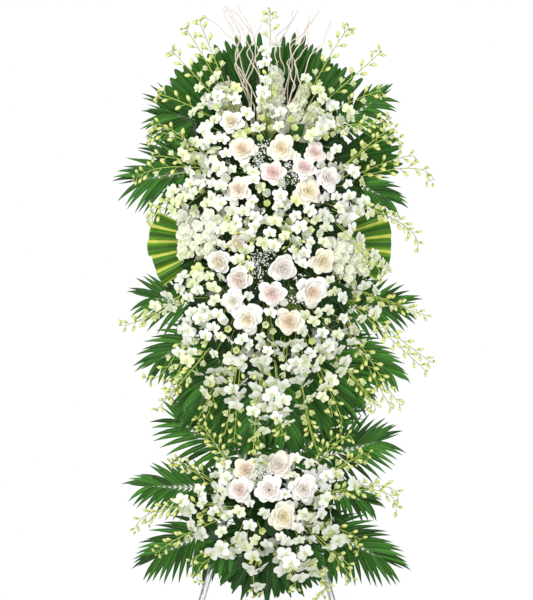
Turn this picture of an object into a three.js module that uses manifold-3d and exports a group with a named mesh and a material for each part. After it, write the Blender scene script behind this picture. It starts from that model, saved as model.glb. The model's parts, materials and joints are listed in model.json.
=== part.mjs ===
// A standing funeral spray in two tiers, built as a florist builds it: a steel tripod with a mast,
// a foam cage for each tier, a fan of palm and fan leaves, and roses, orchids, stock and gypsophila
// whose stems stand in holes in the foam. Millimetres, +Z up, the front faces -Y, the floor is z = 0.
import * as THREE from "three";
import { mergeVertices } from "three/addons/utils/BufferGeometryUtils.js";
import Module from "manifold-3d";

const wasm = await Module();
wasm.setup();

// Driving dimensions of the stand.
const GAP = 0.4;
const HUB_Z = 720;
const HUB = { radius: 27, height: 56, sides: 12 };
const SLEEVE = { radius: 14, sides: 8, from: -14, to: 42, socketFrom: 22, inset: 4, bore: 62 };
const MAST = { radius: 12.5, wall: 1.5, bottom: 322, top: 1492 };
const LEG = { radius: 9.5, wall: 1.2, sides: 10 };
const FOOT = { radius: 14, sides: 8, height: 30, socketFrom: 9, below: 40 };
const FRONT_FOOT = [232, -200];
const REAR_FOOT = [0, 330];
const KNOB = { shaft: 3, head: 11, length: 13, sides: 8, rise: 15, stand: 2 };

// The foam blocks, each held in a cage that clamps to the mast.
const FOAM_BACK = -30;
const FOAM_FRONT = -120;
const UPPER_FOAM = { half: 90, low: 1050, high: 1480 };
const LOWER_FOAM = { half: 60, low: 350, high: 470 };
const CAGE = { plate: 4, rim: 2.5, rimFront: -41, strap: 8, strapThick: 2, strapRoot: 4 };
const COLLAR = { half: 19, back: 19, height: 15 };
const UPPER_CAGE = { collars: [1120, 1400], straps: [1164, 1352] };
const LOWER_CAGE = { collars: [410], straps: [388, 434] };

// A bunch's stems meet in one peg, which stands in a plain hole in the foam.
const PEG = { radius: 8, depth: 30, proud: 9, clearance: 0.7, sides: 4, stemDepth: 5 };
const BACK_ROW = -51;
const FRONT_ROW = -94;

// The flowers end on a dome in front of each tier: its middle, half width and height, and its depths.
const UPPER_DOME = { z: 1290, width: 330, height: 560, rim: -84, crown: 150, droop: 0.12 };
const LOWER_DOME = { z: 430, width: 280, height: 210, rim: -112, crown: 110, droop: 0.35 };

const BLOOM = { size: 40, reach: 22, lift: 12, layer: 24 };
const BUD = { length: 34, radius: 8 };
const STEM = 2.6;
const ROSE_STEM = 3.2;

const LEAF = { length: 64 };

// The room that a stem keeps round itself, and the least room between two blooms, by a bloom's size.
const STEM_ROOM = 5;
const BLOOM_SPACING = 1.3;

// Where a bloom may stand beside its stem: its turn from square, and its reach.
const SWINGS = [
  [0, 1], [0.5, 1], [-0.5, 1], [0, 1.5], [1, 1.1], [-1, 1.1], [0.4, 1.9], [-0.4, 1.9], [3.1, 1],
];

const up = new THREE.Vector3(0, 0, 1);
const front = new THREE.Vector3(0, -1, 0);
const at = (x, y, z) => new THREE.Vector3(x, y, z);
const mix = (a, b, t) => a.clone().lerp(b, t);

// A seeded draw, so that every run makes the same spray.
let seed = 1977;
function random(low = 0, high = 1) {
  seed = (seed * 16807) % 2147483647;
  return low + ((high - low) * seed) / 2147483647;
}

// Solids

function solidFrom(points, faces) {
  const vertProperties = new Float32Array(points.flatMap((p) => [p.x, p.y, p.z]));
  const volume = faces.reduce((sum, [a, b, c]) => {
    return sum + points[a].dot(points[b].clone().cross(points[c]));
  }, 0);
  const outward = volume < 0 ? faces.map(([a, b, c]) => [a, c, b]) : faces;
  const triVerts = new Uint32Array(outward.flat());
  return new wasm.Manifold(new wasm.Mesh({ numProp: 3, vertProperties, triVerts }));
}

// Skins rings of points, of any counts, in order. A ring of one point is a tip; other ends are capped.
function loft(rings) {
  const points = rings.flat();
  const faces = [];
  const first = [];
  rings.reduce((sum, ring) => (first.push(sum), sum + ring.length), 0);
  for (let k = 0; k + 1 < rings.length; k++) {
    const [n, m] = [rings[k].length, rings[k + 1].length];
    const a = (i) => first[k] + (i % n);
    const b = (j) => first[k + 1] + (j % m);
    let [i, j] = [0, 0];
    const [lastI, lastJ] = [n > 1 ? n : 0, m > 1 ? m : 0];
    while (i < lastI || j < lastJ) {
      if (j >= lastJ || (i < lastI && (i + 1) / n <= (j + 1) / m)) {
        faces.push([a(i), a(i + 1), b(j)]);
        i++;
      } else {
        faces.push([a(i), b(j + 1), b(j)]);
        j++;
      }
    }
  }
  const last = rings.length - 1;
  for (let i = 1; i + 1 < rings[0].length; i++) faces.push([0, i + 1, i]);
  for (let i = 1; i + 1 < rings[last].length; i++) {
    faces.push([first[last], first[last] + i, first[last] + i + 1]);
  }
  return solidFrom(points, faces);
}

// A closed solid from one of the library's shapes.
function solidOf(geometry) {
  const bare = geometry.index ? geometry.toNonIndexed() : geometry.clone();
  bare.deleteAttribute("normal");
  bare.deleteAttribute("uv");
  const merged = mergeVertices(bare, 1e-4);
  const position = merged.getAttribute("position");
  const pointAt = (_, i) => new THREE.Vector3().fromBufferAttribute(position, i);
  const points = Array.from({ length: position.count }, pointAt);
  const faces = [];
  for (let i = 0; i < merged.index.count; i += 3) {
    const face = [0, 1, 2].map((k) => merged.index.getX(i + k));
    if (new Set(face).size === 3) faces.push(face);
  }
  return solidFrom(points, faces);
}

const join = (solids) => solids.reduce((sum, solid) => sum.add(solid));

// The largest body of a join; scraps that a cut leaves loose are dropped.
function wholeOf(solid) {
  return solid.decompose().reduce((a, b) => (b.volume() > a.volume() ? b : a));
}

function geometryOf(solid) {
  const made = solid.getMesh();
  const position = new Float32Array(made.numVert * 3);
  for (let i = 0; i < made.numVert; i++) {
    position.set(made.vertProperties.subarray(i * made.numProp, i * made.numProp + 3), i * 3);
  }
  const geometry = new THREE.BufferGeometry();
  geometry.setAttribute("position", new THREE.BufferAttribute(position, 3));
  geometry.setIndex(new THREE.BufferAttribute(made.triVerts, 1));
  geometry.computeVertexNormals();
  return geometry;
}

// Two directions square to one another and to the given one.
function across(direction) {
  const level = Math.abs(direction.dot(up)) > 0.95 ? front : up;
  const side = level.clone().cross(direction).normalize();
  return [side, direction.clone().cross(side).normalize()];
}

// Rings of a stem's section along points, with a radius at each. They end square to the given side.
function stemRings(path, radii, sides = 3, endSide = null) {
  const rings = [];
  const last = path.length - 1;
  let side = endSide;
  for (let i = last; i >= 0; i--) {
    const ahead = path[Math.min(i + 1, last)].clone().sub(path[Math.max(i - 1, 0)]).normalize();
    side = side ? side.clone().addScaledVector(ahead, -side.dot(ahead)).normalize() : across(ahead)[0];
    const radius = Array.isArray(radii) ? radii[i] : radii;
    rings.unshift(ringAt(path[i], side, ahead.clone().cross(side), radius, sides));
  }
  return rings;
}

// Points round a middle, in the plane of two directions.
function ringAt(middle, side, other, radius, sides) {
  return Array.from({ length: sides }, (_, k) => {
    const turn = (2 * Math.PI * k) / sides;
    const p = middle.clone().addScaledVector(side, radius * Math.cos(turn));
    return p.addScaledVector(other, radius * Math.sin(turn));
  });
}

const tube = (path, radii, sides = 3) => loft(stemRings(path, radii, sides));

// A block between two corners.
function box(low, high) {
  const geometry = new THREE.BoxGeometry(high[0] - low[0], high[1] - low[1], high[2] - low[2]);
  geometry.translate((high[0] + low[0]) / 2, (high[1] + low[1]) / 2, (high[2] + low[2]) / 2);
  return solidOf(geometry);
}

// A round bar, or a pipe if it has a wall, from one point to another.
function bar(from, to, radius, wall = 0, sides = 16) {
  const length = from.distanceTo(to);
  const inner = wall ? radius - wall : 0;
  const profile = [at(inner, 0, 0), at(radius, 0, 0), at(radius, length, 0), at(inner, length, 0)];
  if (wall) profile.push(profile[0]);
  const geometry = new THREE.LatheGeometry(profile.map((p) => new THREE.Vector2(p.x, p.y)), sides);
  const direction = to.clone().sub(from).normalize();
  geometry.applyQuaternion(new THREE.Quaternion().setFromUnitVectors(at(0, 1, 0), direction));
  geometry.translate(from.x, from.y, from.z);
  return solidOf(geometry);
}

// Ground that other pieces already hold, as balls, so that stems and florets are bent clear of them.
const held = [];
const hold = (node, centre, radius, isBloom = false) => held.push({ node, centre, radius, isBloom });
const isClear = (node, centre, radius, alsoOwnBlooms = false) =>
  held.every((ball) => {
    if (ball.node === node && !(alsoOwnBlooms && ball.isBloom)) return true;
    return ball.centre.distanceTo(centre) > ball.radius + radius;
  });

// The parts list

const spray = new THREE.Group();
const finishes = {
  chrome: { color: 0xc9ccd2, roughness: 0.22, metalness: 1 },
  rubber: { color: 0x1d1d1f, roughness: 0.85, metalness: 0 },
  cage: { color: 0x1f5a33, roughness: 0.5, metalness: 0 },
  foam: { color: 0x2c5d35, roughness: 0.95, metalness: 0 },
  palm: { color: 0x2c6427, roughness: 0.5, metalness: 0 },
  fan: { color: 0x1f5a20, roughness: 0.45, metalness: 0 },
  pleat: { color: 0x6c9a2a, roughness: 0.45, metalness: 0 },
  salal: { color: 0x1d4a1b, roughness: 0.4, metalness: 0 },
  rose: { color: 0xf6ece0, roughness: 0.7, metalness: 0 },
  orchid: { color: 0xf4f6ea, roughness: 0.6, metalness: 0 },
  stock: { color: 0xf1f4ea, roughness: 0.7, metalness: 0 },
  gypsophila: { color: 0xfafaf6, roughness: 0.8, metalness: 0 },
  willow: { color: 0xe6dccb, roughness: 0.7, metalness: 0 },
};

function addNode(name, solid, finish) {
  const material = new THREE.MeshStandardMaterial(finishes[finish]);
  const mesh = new THREE.Mesh(geometryOf(wholeOf(solid)), material);
  mesh.name = name;
  spray.add(mesh);
}

// The stand

const hubCentre = at(0, 0, HUB_Z);
const feet = {
  left: at(-FRONT_FOOT[0], FRONT_FOOT[1], 0),
  right: at(FRONT_FOOT[0], FRONT_FOOT[1], 0),
  rear: at(REAR_FOOT[0], REAR_FOOT[1], 0),
};

function addStand() {
  const onMast = (z) => at(0, 0, z);
  const rise = HUB.height / 2;
  let hub = bar(onMast(HUB_Z - rise), onMast(HUB_Z + rise), HUB.radius, 0, HUB.sides);
  const holes = [bar(onMast(HUB_Z - 2 * rise), onMast(HUB_Z + 2 * rise), MAST.radius + GAP, 0, HUB.sides)];
  for (const [side, foot] of Object.entries(feet)) {
    const down = foot.clone().sub(hubCentre).normalize();
    // The socket starts level with the hub's side wall, clear of the mast.
    const outOf = down.clone().setZ(0).normalize().multiplyScalar(HUB.radius - SLEEVE.inset);
    const legTop = hubCentre.clone().addScaledVector(down, SLEEVE.socketFrom).add(outOf);
    const legFoot = foot.clone().addScaledVector(down, -FOOT.socketFrom);
    const along = legFoot.clone().sub(legTop).normalize();
    const fromTop = (reach) => legTop.clone().addScaledVector(along, reach);
    const fromFoot = (reach) => legFoot.clone().addScaledVector(along, reach);
    hub = hub.add(bar(fromTop(SLEEVE.from), fromTop(SLEEVE.to), SLEEVE.radius, 0, SLEEVE.sides));
    holes.push(bar(fromTop(-GAP), fromTop(SLEEVE.bore), LEG.radius + GAP, 0, LEG.sides));
    addNode(`leg_${side}`, bar(legTop, legFoot, LEG.radius, LEG.wall, LEG.sides), "chrome");
    for (let t = 0; t <= 1; t += 0.02) hold(`leg_${side}`, mix(legTop, legFoot, t), LEG.radius + 2);
    // Each cap is cut level with the floor.
    const cap = bar(fromFoot(FOOT.below), fromFoot(-FOOT.height), FOOT.radius, 0, FOOT.sides)
      .subtract(bar(fromFoot(GAP), legTop, LEG.radius + GAP, 0, LEG.sides))
      .subtract(box([-500, -500, -100], [500, 500, 0]));
    addNode(`foot_${side}`, cap, "rubber");
  }
  const onKnob = (x) => at(x, 0, HUB_Z + KNOB.rise);
  const [knobFrom, neck] = [onKnob(MAST.radius + 2 * GAP), onKnob(HUB.radius + KNOB.stand)];
  const knobEnd = onKnob(HUB.radius + KNOB.stand + KNOB.length);
  const head = bar(neck, knobEnd, KNOB.head, 0, KNOB.sides);
  holes.push(bar(onKnob(0), neck, KNOB.shaft + GAP, 0, KNOB.sides));
  addNode("mast_knob", bar(knobFrom, knobEnd, KNOB.shaft, 0, KNOB.sides).add(head), "rubber");
  addNode("hub", holes.reduce((sum, hole) => sum.subtract(hole), hub), "chrome");
  addNode("mast", bar(onMast(MAST.bottom), onMast(MAST.top), MAST.radius, MAST.wall, HUB.sides), "chrome");
}

// A tray behind a foam block, with straps round the foam and collars round the mast.
function addCage(name, foam, { collars, straps }) {
  const wide = foam.half + GAP;
  const [low, high] = [foam.low - GAP, foam.high + GAP];
  const back = FOAM_BACK + GAP + CAGE.plate;
  const outer = wide + CAGE.rim;
  let cage = box([-outer, CAGE.rimFront, low - CAGE.rim], [outer, back, high + CAGE.rim]);
  cage = cage.subtract(box([-wide, CAGE.rimFront - 1, low], [wide, FOAM_BACK + GAP, high]));
  for (const z of straps) {
    const over = wide + CAGE.strapThick;
    const inside = box([-wide, FOAM_FRONT - GAP, z - 1], [wide, 0, z + CAGE.strap + 1]);
    const face = FOAM_FRONT - GAP - CAGE.strapThick;
    const strap = box([-over, face, z], [over, CAGE.rimFront + CAGE.strapRoot, z + CAGE.strap]);
    cage = cage.add(strap.subtract(inside));
  }
  for (const z of collars) {
    const [base, top] = [z - COLLAR.height, z + COLLAR.height];
    cage = cage.add(box([-COLLAR.half, back - 1, base], [COLLAR.half, COLLAR.back, top]));
  }
  cage = cage.subtract(bar(at(0, 0, low - 50), at(0, 0, high + 50), MAST.radius + GAP, 0, HUB.sides));
  addNode(name, cage, "cage");
}

// Where each bunch stands in its foam: its face, and its place on that face.

const pegs = [];
function pegAt(foam, face, along, row) {
  const places = {
    left: [at(-foam.half, row, along), at(-1, 0, 0)],
    right: [at(foam.half, row, along), at(1, 0, 0)],
    top: [at(along, row, foam.high), at(0, 0, 1)],
    bottom: [at(along, row, foam.low), at(0, 0, -1)],
    front: [at(along, FOAM_FRONT, row), at(0, -1, 0)],
  };
  const [mouth, out] = places[face];
  const outBy = (reach) => mouth.clone().addScaledVector(out, reach);
  const hole = tube([outBy(-PEG.depth - PEG.clearance), outBy(3)], PEG.radius + PEG.clearance, PEG.sides);
  pegs.push({ foam, hole });
  const solid = tube([outBy(-PEG.depth), outBy(PEG.proud)], PEG.radius, PEG.sides);
  return { out, solid, start: outBy(PEG.proud - PEG.stemDepth) };
}

function addFoam(name, foam) {
  const block = box([-foam.half, FOAM_FRONT, foam.low], [foam.half, FOAM_BACK, foam.high]);
  const own = pegs.filter((peg) => peg.foam === foam);
  addNode(name, own.reduce((sum, peg) => sum.subtract(peg.hole), block), "foam");
}

// How far forward the flowers reach at a place on the tier's front.
function domeDepth(dome, x, z) {
  const spread = Math.hypot(x / dome.width, (z - dome.z) / dome.height);
  const swell = spread < 1 ? dome.crown * Math.sqrt(1 - spread * spread) : -30 * (spread - 1);
  return dome.rim - swell - Math.max(0, dome.z - z) * dome.droop;
}
const onDome = (dome, [x, z], proud = 0) => at(x, domeDepth(dome, x, z) - proud, z);

// Away from the foam and forwards: the way that a flower on the dome looks.
function outwards(dome, p) {
  return at(p.x / dome.width, -1.3, (p.z - dome.z) / dome.height / 1.2).normalize();
}

// The middles of the blooms so far, which later blooms keep apart from.
const opened = [];
const isSpaced = (centre, size) => opened.every((p) => p.distanceTo(centre) > size * BLOOM_SPACING);

// The first of a stem's possible courses, from the given one to ones further forward or back, that is clear.
const SHIFTS = [0, 8, -8, 16, -16, 24, -24, 32, -32, 40, -40, 50];
function clearCourse(node, course) {
  const courses = SHIFTS.map((shift) => course(shift));
  const spots = (curve) => curve.getPoints(40).slice(4, -3);
  const isOpen = (curve, alsoOwnBlooms) =>
    spots(curve).every((p) => isClear(node, p, STEM_ROOM, alsoOwnBlooms));
  const clear =
    courses.find((curve) => isOpen(curve, true)) ||
    courses.find((curve) => isOpen(curve, false)) ||
    courses[0];
  spots(clear).forEach((p) => hold(node, p, STEM_ROOM));
  return clear;
}

// Flowers and leaves

// How far a bloom's outline reaches, by its size: a petal's tip, then the notch after it, and so on round.
const PETALS = [1, 0.6, 0.92, 0.55, 0.96, 0.55, 0.96, 0.55, 0.92, 0.6];

// An orchid bloom on its own short stalk: three sepals and two petals, with a raised lip.
function orchidBloom(root, centre, facing, size, turn) {
  return loft([[root], ...bloomRings(centre, facing, turned(across(facing), turn), size)]);
}

function bloomRings(centre, facing, [side, other], size) {
  const back = (depth) => centre.clone().addScaledVector(facing, depth * size);
  const rim = PETALS.map((_, k) => {
    const angle = (2 * Math.PI * k) / PETALS.length;
    const p = back(k % 2 ? 0 : -0.14).addScaledVector(side, PETALS[k] * size * Math.cos(angle));
    return p.addScaledVector(other, PETALS[k] * size * Math.sin(angle));
  });
  const neck = ringAt(back(-0.2), side, other, 2, 3);
  return [neck, rim, [back(0.16)]];
}

// Two directions turned about the third that is square to both.
function turned([side, other], angle) {
  const turn = (a, b, sign) =>
    a.clone().multiplyScalar(Math.cos(angle)).addScaledVector(b, sign * Math.sin(angle));
  return [turn(side, other, 1), turn(other, side, -1)];
}

function bud(root, direction, length, radius) {
  const [side, other] = across(direction);
  const waist = root.clone().addScaledVector(direction, 0.64 * length);
  const tip = root.clone().addScaledVector(direction, length);
  return loft([[root], ringAt(waist, side, other, radius, 3), [tip]]);
}

// Where a stem leaves its peg: off the middle, towards the place that it goes to.
function rootOn(peg, target) {
  const aim = target.clone().sub(peg.start);
  aim.addScaledVector(peg.out, -aim.dot(peg.out));
  return peg.start.clone().addScaledVector(aim.normalize(), PEG.radius * 0.45);
}

// A curve from a peg that passes through one point half way and ends at another.
function archFrom(peg, via, tip) {
  const root = rootOn(peg, via);
  const leaving = root.clone().addScaledVector(peg.out, root.distanceTo(via) * 0.3);
  const arriving = via.clone().multiplyScalar(8).sub(root).sub(tip).addScaledVector(leaving, -3);
  arriving.divideScalar(3);
  return new THREE.CubicBezierCurve3(root, leaving, arriving, tip);
}

// An arching orchid stem: open blooms on its lower half, then buds that shrink towards its tip.
function orchidStem(node, dome, peg, { via, tip, blooms = 2, buds = 3, proud = 0, from = 0.42, to = 0.6 }) {
  const curve = clearCourse(node, (shift) =>
    archFrom(peg, onDome(dome, via, proud + shift), onDome(dome, tip, proud * 0.6 + shift * 0.8)),
  );
  const steps = buds > 1 ? 4 : 3;
  const path = Array.from({ length: steps + 1 }, (_, k) => curve.getPoint((0.93 * k) / steps));
  const rings = stemRings(path, path.map((_, k) => STEM * (1 - (0.35 * k) / steps)));
  const [budRoot, budTip] = [path[steps], curve.getPoint(1)];
  const lastSide = rings[steps][0].clone().sub(budRoot).normalize();
  const lastOther = budTip.clone().sub(budRoot).normalize().cross(lastSide);
  const waist = ringAt(mix(budRoot, budTip, 0.55), lastSide, lastOther, BUD.radius * 0.8, 3);
  const solids = [loft([...rings, waist, [budTip]])];
  for (let k = 0; k < blooms; k++) {
    const root = curve.getPoint(from + ((to - from) * k) / Math.max(1, blooms - 1));
    const along = curve.getTangent(from + ((to - from) * k) / Math.max(1, blooms - 1));
    const facing = outwards(dome, root);
    const turn = random(-0.3, 0.3);
    const size = BLOOM.size * random(0.9, 1.08);
    const away = along.clone().cross(facing).normalize().multiplyScalar(k % 2 ? 1 : -1);
    const places = SWINGS.map(([swing, far]) => {
      const reach = away.clone().applyAxisAngle(facing, swing * (k % 2 ? -1 : 1));
      const lift = BLOOM.lift + BLOOM.layer * (k % 2);
      return root.clone().addScaledVector(reach, BLOOM.reach * far).addScaledVector(facing, lift);
    });
    const centre = places.find((p) => isClear(node, p, size * 0.8) && isSpaced(p, size));
    if (!centre) continue;
    hold(node, centre, size * 0.86, true);
    opened.push(centre);
    const look = facing.clone().addScaledVector(centre.clone().sub(root).normalize(), 0.3).normalize();
    solids.push(orchidBloom(root, centre, look, size, turn));
  }
  for (let k = 0; k < buds - 1; k++) {
    const t = 0.72 + (0.16 * k) / Math.max(1, buds - 2);
    const root = curve.getPoint(t);
    const along = curve.getTangent(t);
    const away = along.clone().cross(outwards(dome, root)).normalize().multiplyScalar(k % 2 ? 1 : -1);
    const direction = along.clone().addScaledVector(away, 0.75).addScaledVector(front, 0.2).normalize();
    const length = BUD.length * (1.05 - 0.12 * k);
    if (!isClear(node, root.clone().addScaledVector(direction, length * 0.6), length * 0.45)) continue;
    hold(node, root.clone().addScaledVector(direction, length * 0.6), length * 0.4);
    solids.push(bud(root, direction, length, BUD.radius * (1 - 0.1 * k)));
  }
  return join(solids);
}

// An orchid bloom on a stem of its own, which fills in between the roses.
function orchidFloret(node, dome, peg, [x, z], k) {
  const centre = onDome(dome, [x, z], BLOOM.layer * (k % 2));
  const facing = outwards(dome, centre);
  const size = BLOOM.size * random(0.95, 1.12);
  const base = centre.clone().addScaledVector(facing, -0.5 * size);
  const curve = clearCourse(node, (shift) => {
    const root = rootOn(peg, base);
    const bend = mix(root, base, 0.5).addScaledVector(peg.out, root.distanceTo(base) * 0.2);
    return new THREE.QuadraticBezierCurve3(root, bend.addScaledVector(front, shift), base);
  });
  hold(node, centre, size * 0.86, true);
  opened.push(centre);
  const [side, other] = turned(across(facing), random(-0.5, 0.5));
  const [neck, rim, lip] = bloomRings(centre, facing, [side, other], size);
  return loft([...stemRings(curve.getPoints(2), STEM, 3, side), neck, rim, lip]);
}

// A rose: an outer and an inner whorl of petals round a cupped heart, on its stem.
const WHORLS = [
  { count: 10, radii: [0.52, 0.42], depths: [-0.02, -0.12], phase: 0 },
  { count: 5, radii: [0.33], depths: [-0.1], phase: 0.3 },
  { count: 10, radii: [0.36, 0.3], depths: [0.16, 0.08], phase: 0.63 },
  { count: 5, radii: [0.19], depths: [0.04], phase: 0.3 },
  { count: 3, radii: [0.15], depths: [0.24], phase: 0.63 },
];

function rose(node, dome, peg, [x, z, width, proud = 0]) {
  const centre = onDome(dome, [x, z], proud);
  const facing = outwards(dome, centre);
  const axes = turned(across(facing), random(0, 1.2));
  const base = centre.clone().addScaledVector(facing, -0.34 * width);
  hold(node, centre, width * 0.5);
  const curve = clearCourse(node, (shift) => {
    const root = rootOn(peg, base);
    const bend = root.clone().addScaledVector(peg.out, root.distanceTo(base) * 0.35);
    return new THREE.QuadraticBezierCurve3(root, bend.addScaledVector(front, shift), base);
  });
  const whorls = WHORLS.map(({ count, radii, depths, phase }) => {
    const [side, other] = turned(axes, phase);
    return Array.from({ length: count }, (_, k) => {
      const turn = (2 * Math.PI * k) / count;
      const p = centre.clone().addScaledVector(facing, depths[k % depths.length] * width);
      const radius = radii[k % radii.length] * width;
      return p.addScaledVector(side, radius * Math.cos(turn)).addScaledVector(other, radius * Math.sin(turn));
    });
  });
  const heart = centre.clone().addScaledVector(facing, 0.14 * width);
  return loft([...stemRings(curve.getPoints(2), ROSE_STEM, 3, axes[0]), ...whorls, [heart]]);
}

// A leafy stem with its leaves at the places of a list: each a stalk that widens into a keeled blade.
function leafyStem(node, dome, peg, leaves) {
  const solids = leaves.map(([x, z, angle, behind = 62]) => {
    const length = LEAF.length;
    const middle = onDome(dome, [x, z], -behind);
    const direction = at(Math.cos(angle), -0.35, Math.sin(angle)).normalize();
    const [root, tip] = [-0.5, 0.5].map((t) => middle.clone().addScaledVector(direction, t * length));
    const normal = front.clone().addScaledVector(direction, -front.dot(direction)).normalize();
    const side = direction.clone().cross(normal);
    const section = (t, half, thick) => {
      const p = mix(root, tip, t);
      const edge = (s) => p.clone().addScaledVector(side, s * half).addScaledVector(normal, 0.3 * half);
      const keel = (depth) => p.clone().addScaledVector(normal, depth);
      return [edge(1), keel(-thick), edge(-1), keel(thick)];
    };
    const curve = clearCourse(node, (shift) => {
      const foot = rootOn(peg, root);
      const bend = mix(foot, root, 0.5).addScaledVector(peg.out, 8).addScaledVector(front, shift);
      return new THREE.QuadraticBezierCurve3(foot, bend, root);
    });
    [0.3, 0.5, 0.7].forEach((t) => hold(node, mix(root, tip, t), 0.26 * length));
    const blade = [section(0.34, 0.3 * length, 1.4), section(0.7, 0.24 * length, 1.2), [tip]];
    return loft([...stemRings(curve.getPoints(2), 2, 3, side), ...blade]);
  });
  return join(solids);
}

// A palm frond: a rib with a leaflet on each side of every step, cut to the rib.
function frond(peg, { base, tip, length, steps = 8, y = [0, 0], curl = 0 }) {
  const root = at(base[0], y[0], base[1]);
  const end = at(tip[0], y[1], tip[1]);
  const chord = end.clone().sub(root);
  const square = at(-chord.z, 0, chord.x).normalize();
  const middle = mix(root, end, 0.5).addScaledVector(square, curl);
  const rib = new THREE.QuadraticBezierCurve3(root, middle, end);
  const leaving = peg.start.clone().addScaledVector(peg.out, 18);
  const bend = mix(leaving, root.clone().addScaledVector(chord, -0.12), 0.5);
  const stalk = new THREE.QuadraticBezierCurve3(peg.start, bend, root).getPoints(3).slice(0, -1);
  const stations = [...stalk, ...rib.getPoints(steps)];
  const points = [];
  const faces = [];
  stations.forEach((p, i) => {
    const ahead = stations[Math.min(i + 1, stations.length - 1)].clone().sub(stations[Math.max(i - 1, 0)]);
    const side = ahead.cross(front).normalize();
    const half = 3.2 - (2 * i) / stations.length;
    const thick = 2 - (0.8 * i) / stations.length;
    for (const [s, f] of [[-1, 1], [1, 1], [1, -1], [-1, -1]]) {
      points.push(p.clone().addScaledVector(side, s * half).addScaledVector(front, f * thick));
    }
  });
  const quad = (a, b, c, d) => faces.push([a, b, c], [a, c, d]);
  for (let i = 0; i + 1 < stations.length; i++) {
    const [n, m] = [4 * i, 4 * i + 4];
    quad(n, n + 1, m + 1, m);
    quad(n + 2, n + 3, m + 3, m + 2);
    const t = (i - stalk.length + 0.5) / steps;
    for (const s of [-1, 1]) {
      // The four corners of the rib's side, which a leaflet grows from, in order round the opening.
      const wall = s < 0 ? [n, m, m + 3, n + 3] : [n + 1, n + 2, m + 2, m + 1];
      if (t < 0) {
        quad(...wall);
        continue;
      }
      const ahead = rib.getTangent(t);
      const side = ahead.clone().cross(front).normalize().multiplyScalar(s);
      const angle = 1.0 - 0.75 * t;
      const share = 0.64 + 0.45 * Math.sin(Math.PI * (0.12 + 0.66 * t));
      const reach = length * share * random(0.92, 1.05);
      const leaflet = mix(stations[i], stations[i + 1], 0.5)
        .addScaledVector(ahead, reach * Math.cos(angle))
        .addScaledVector(side, reach * Math.sin(angle))
        .addScaledVector(front, -reach * 0.04);
      const tipIndex = points.push(leaflet) - 1;
      wall.forEach((corner, k) => faces.push([corner, wall[(k + 1) % 4], tipIndex]));
    }
  }
  const last = 4 * (stations.length - 1);
  quad(3, 2, 1, 0);
  quad(last, last + 1, last + 2, last + 3);
  return solidFrom(points, faces);
}

// A fan leaf: segments round the end of its stalk, notched, cut round or pleated at the rim.
function fan(peg, { centre, y, radius, from, to, segments, notch = 0.7, pleat = 5, tilt = 0 }) {
  const heart = at(centre[0], y, centre[1]);
  const bend = mix(peg.start.clone().addScaledVector(peg.out, 15), heart, 0.5);
  const stalk = new THREE.QuadraticBezierCurve3(peg.start, bend, heart).getPoints(2);
  const rim = Array.from({ length: 2 * segments + 1 }, (_, k) => {
    const angle = THREE.MathUtils.degToRad(from + ((to - from) * k) / (2 * segments));
    const tipHere = k % 2 === 1;
    const reach = radius * (tipHere ? 1 : notch) * random(0.97, 1.03);
    const depth = y - tilt * (reach / radius) + (tipHere ? -pleat : pleat);
    return at(heart.x + reach * Math.cos(angle), depth, heart.z + reach * Math.sin(angle));
  });
  const points = [heart.clone().addScaledVector(front, 3), heart.clone().addScaledVector(front, -3), ...rim];
  const faces = [];
  for (let k = 0; k + 1 < rim.length; k++) faces.push([0, k + 2, k + 3], [1, k + 3, k + 2]);
  faces.push([0, 1, 2], [0, rim.length + 1, 1]);
  return join([tube(stalk, [3, 3, 3]), solidFrom(points, faces)]);
}

// A kinked twig through places on the tier's front, thinning to its tip.
function twig(node, peg, places) {
  const kinks = places.map(([x, z, y]) => at(x, y, z));
  const path = [rootOn(peg, kinks[0]), ...kinks];
  path.slice(1).forEach((p, i) => {
    for (let t = 0; t < 1; t += 0.1) hold(node, mix(path[i], p, t), STEM_ROOM);
  });
  return tube(path, path.map((_, i) => 3.4 - (2.2 * i) / path.length));
}

// A spike of stock: ruffled whorls of florets round a stem, shrinking to buds at the tip.
function stockSpike(node, peg, { base, tip, width, whorls }) {
  const [foot, head] = [at(...base), at(...tip)];
  const axis = head.clone().sub(foot).normalize();
  const [side, other] = across(axis);
  const rings = [[foot.clone().addScaledVector(axis, -width * 0.2)]];
  for (let k = 0; k < whorls * 2; k++) {
    const t = k / (whorls * 2 - 1);
    const swell = width * 0.5 * (0.55 + 0.6 * Math.sin(Math.PI * Math.min(1, 0.35 + 0.65 * t)));
    const middle = mix(foot, head, t);
    rings.push(
      Array.from({ length: 6 }, (_, j) => {
        const angle = (2 * Math.PI * (j + (k % 4) / 4)) / 6;
        const out = (j + (k >> 1)) % 2 === k % 2 ? 1 : 0.52;
        const p = middle.clone().addScaledVector(axis, out === 1 ? 2 : -2);
        return p
          .addScaledVector(side, swell * out * Math.cos(angle))
          .addScaledVector(other, swell * out * Math.sin(angle));
      }),
    );
    hold(node, middle, swell);
  }
  rings.push([head.clone().addScaledVector(axis, width * 0.4)]);
  const stalk = [peg.start, mix(peg.start, foot, 0.6), mix(foot, head, 0.1)];
  return join([tube(stalk, 3), loft(rings)]);
}

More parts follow.
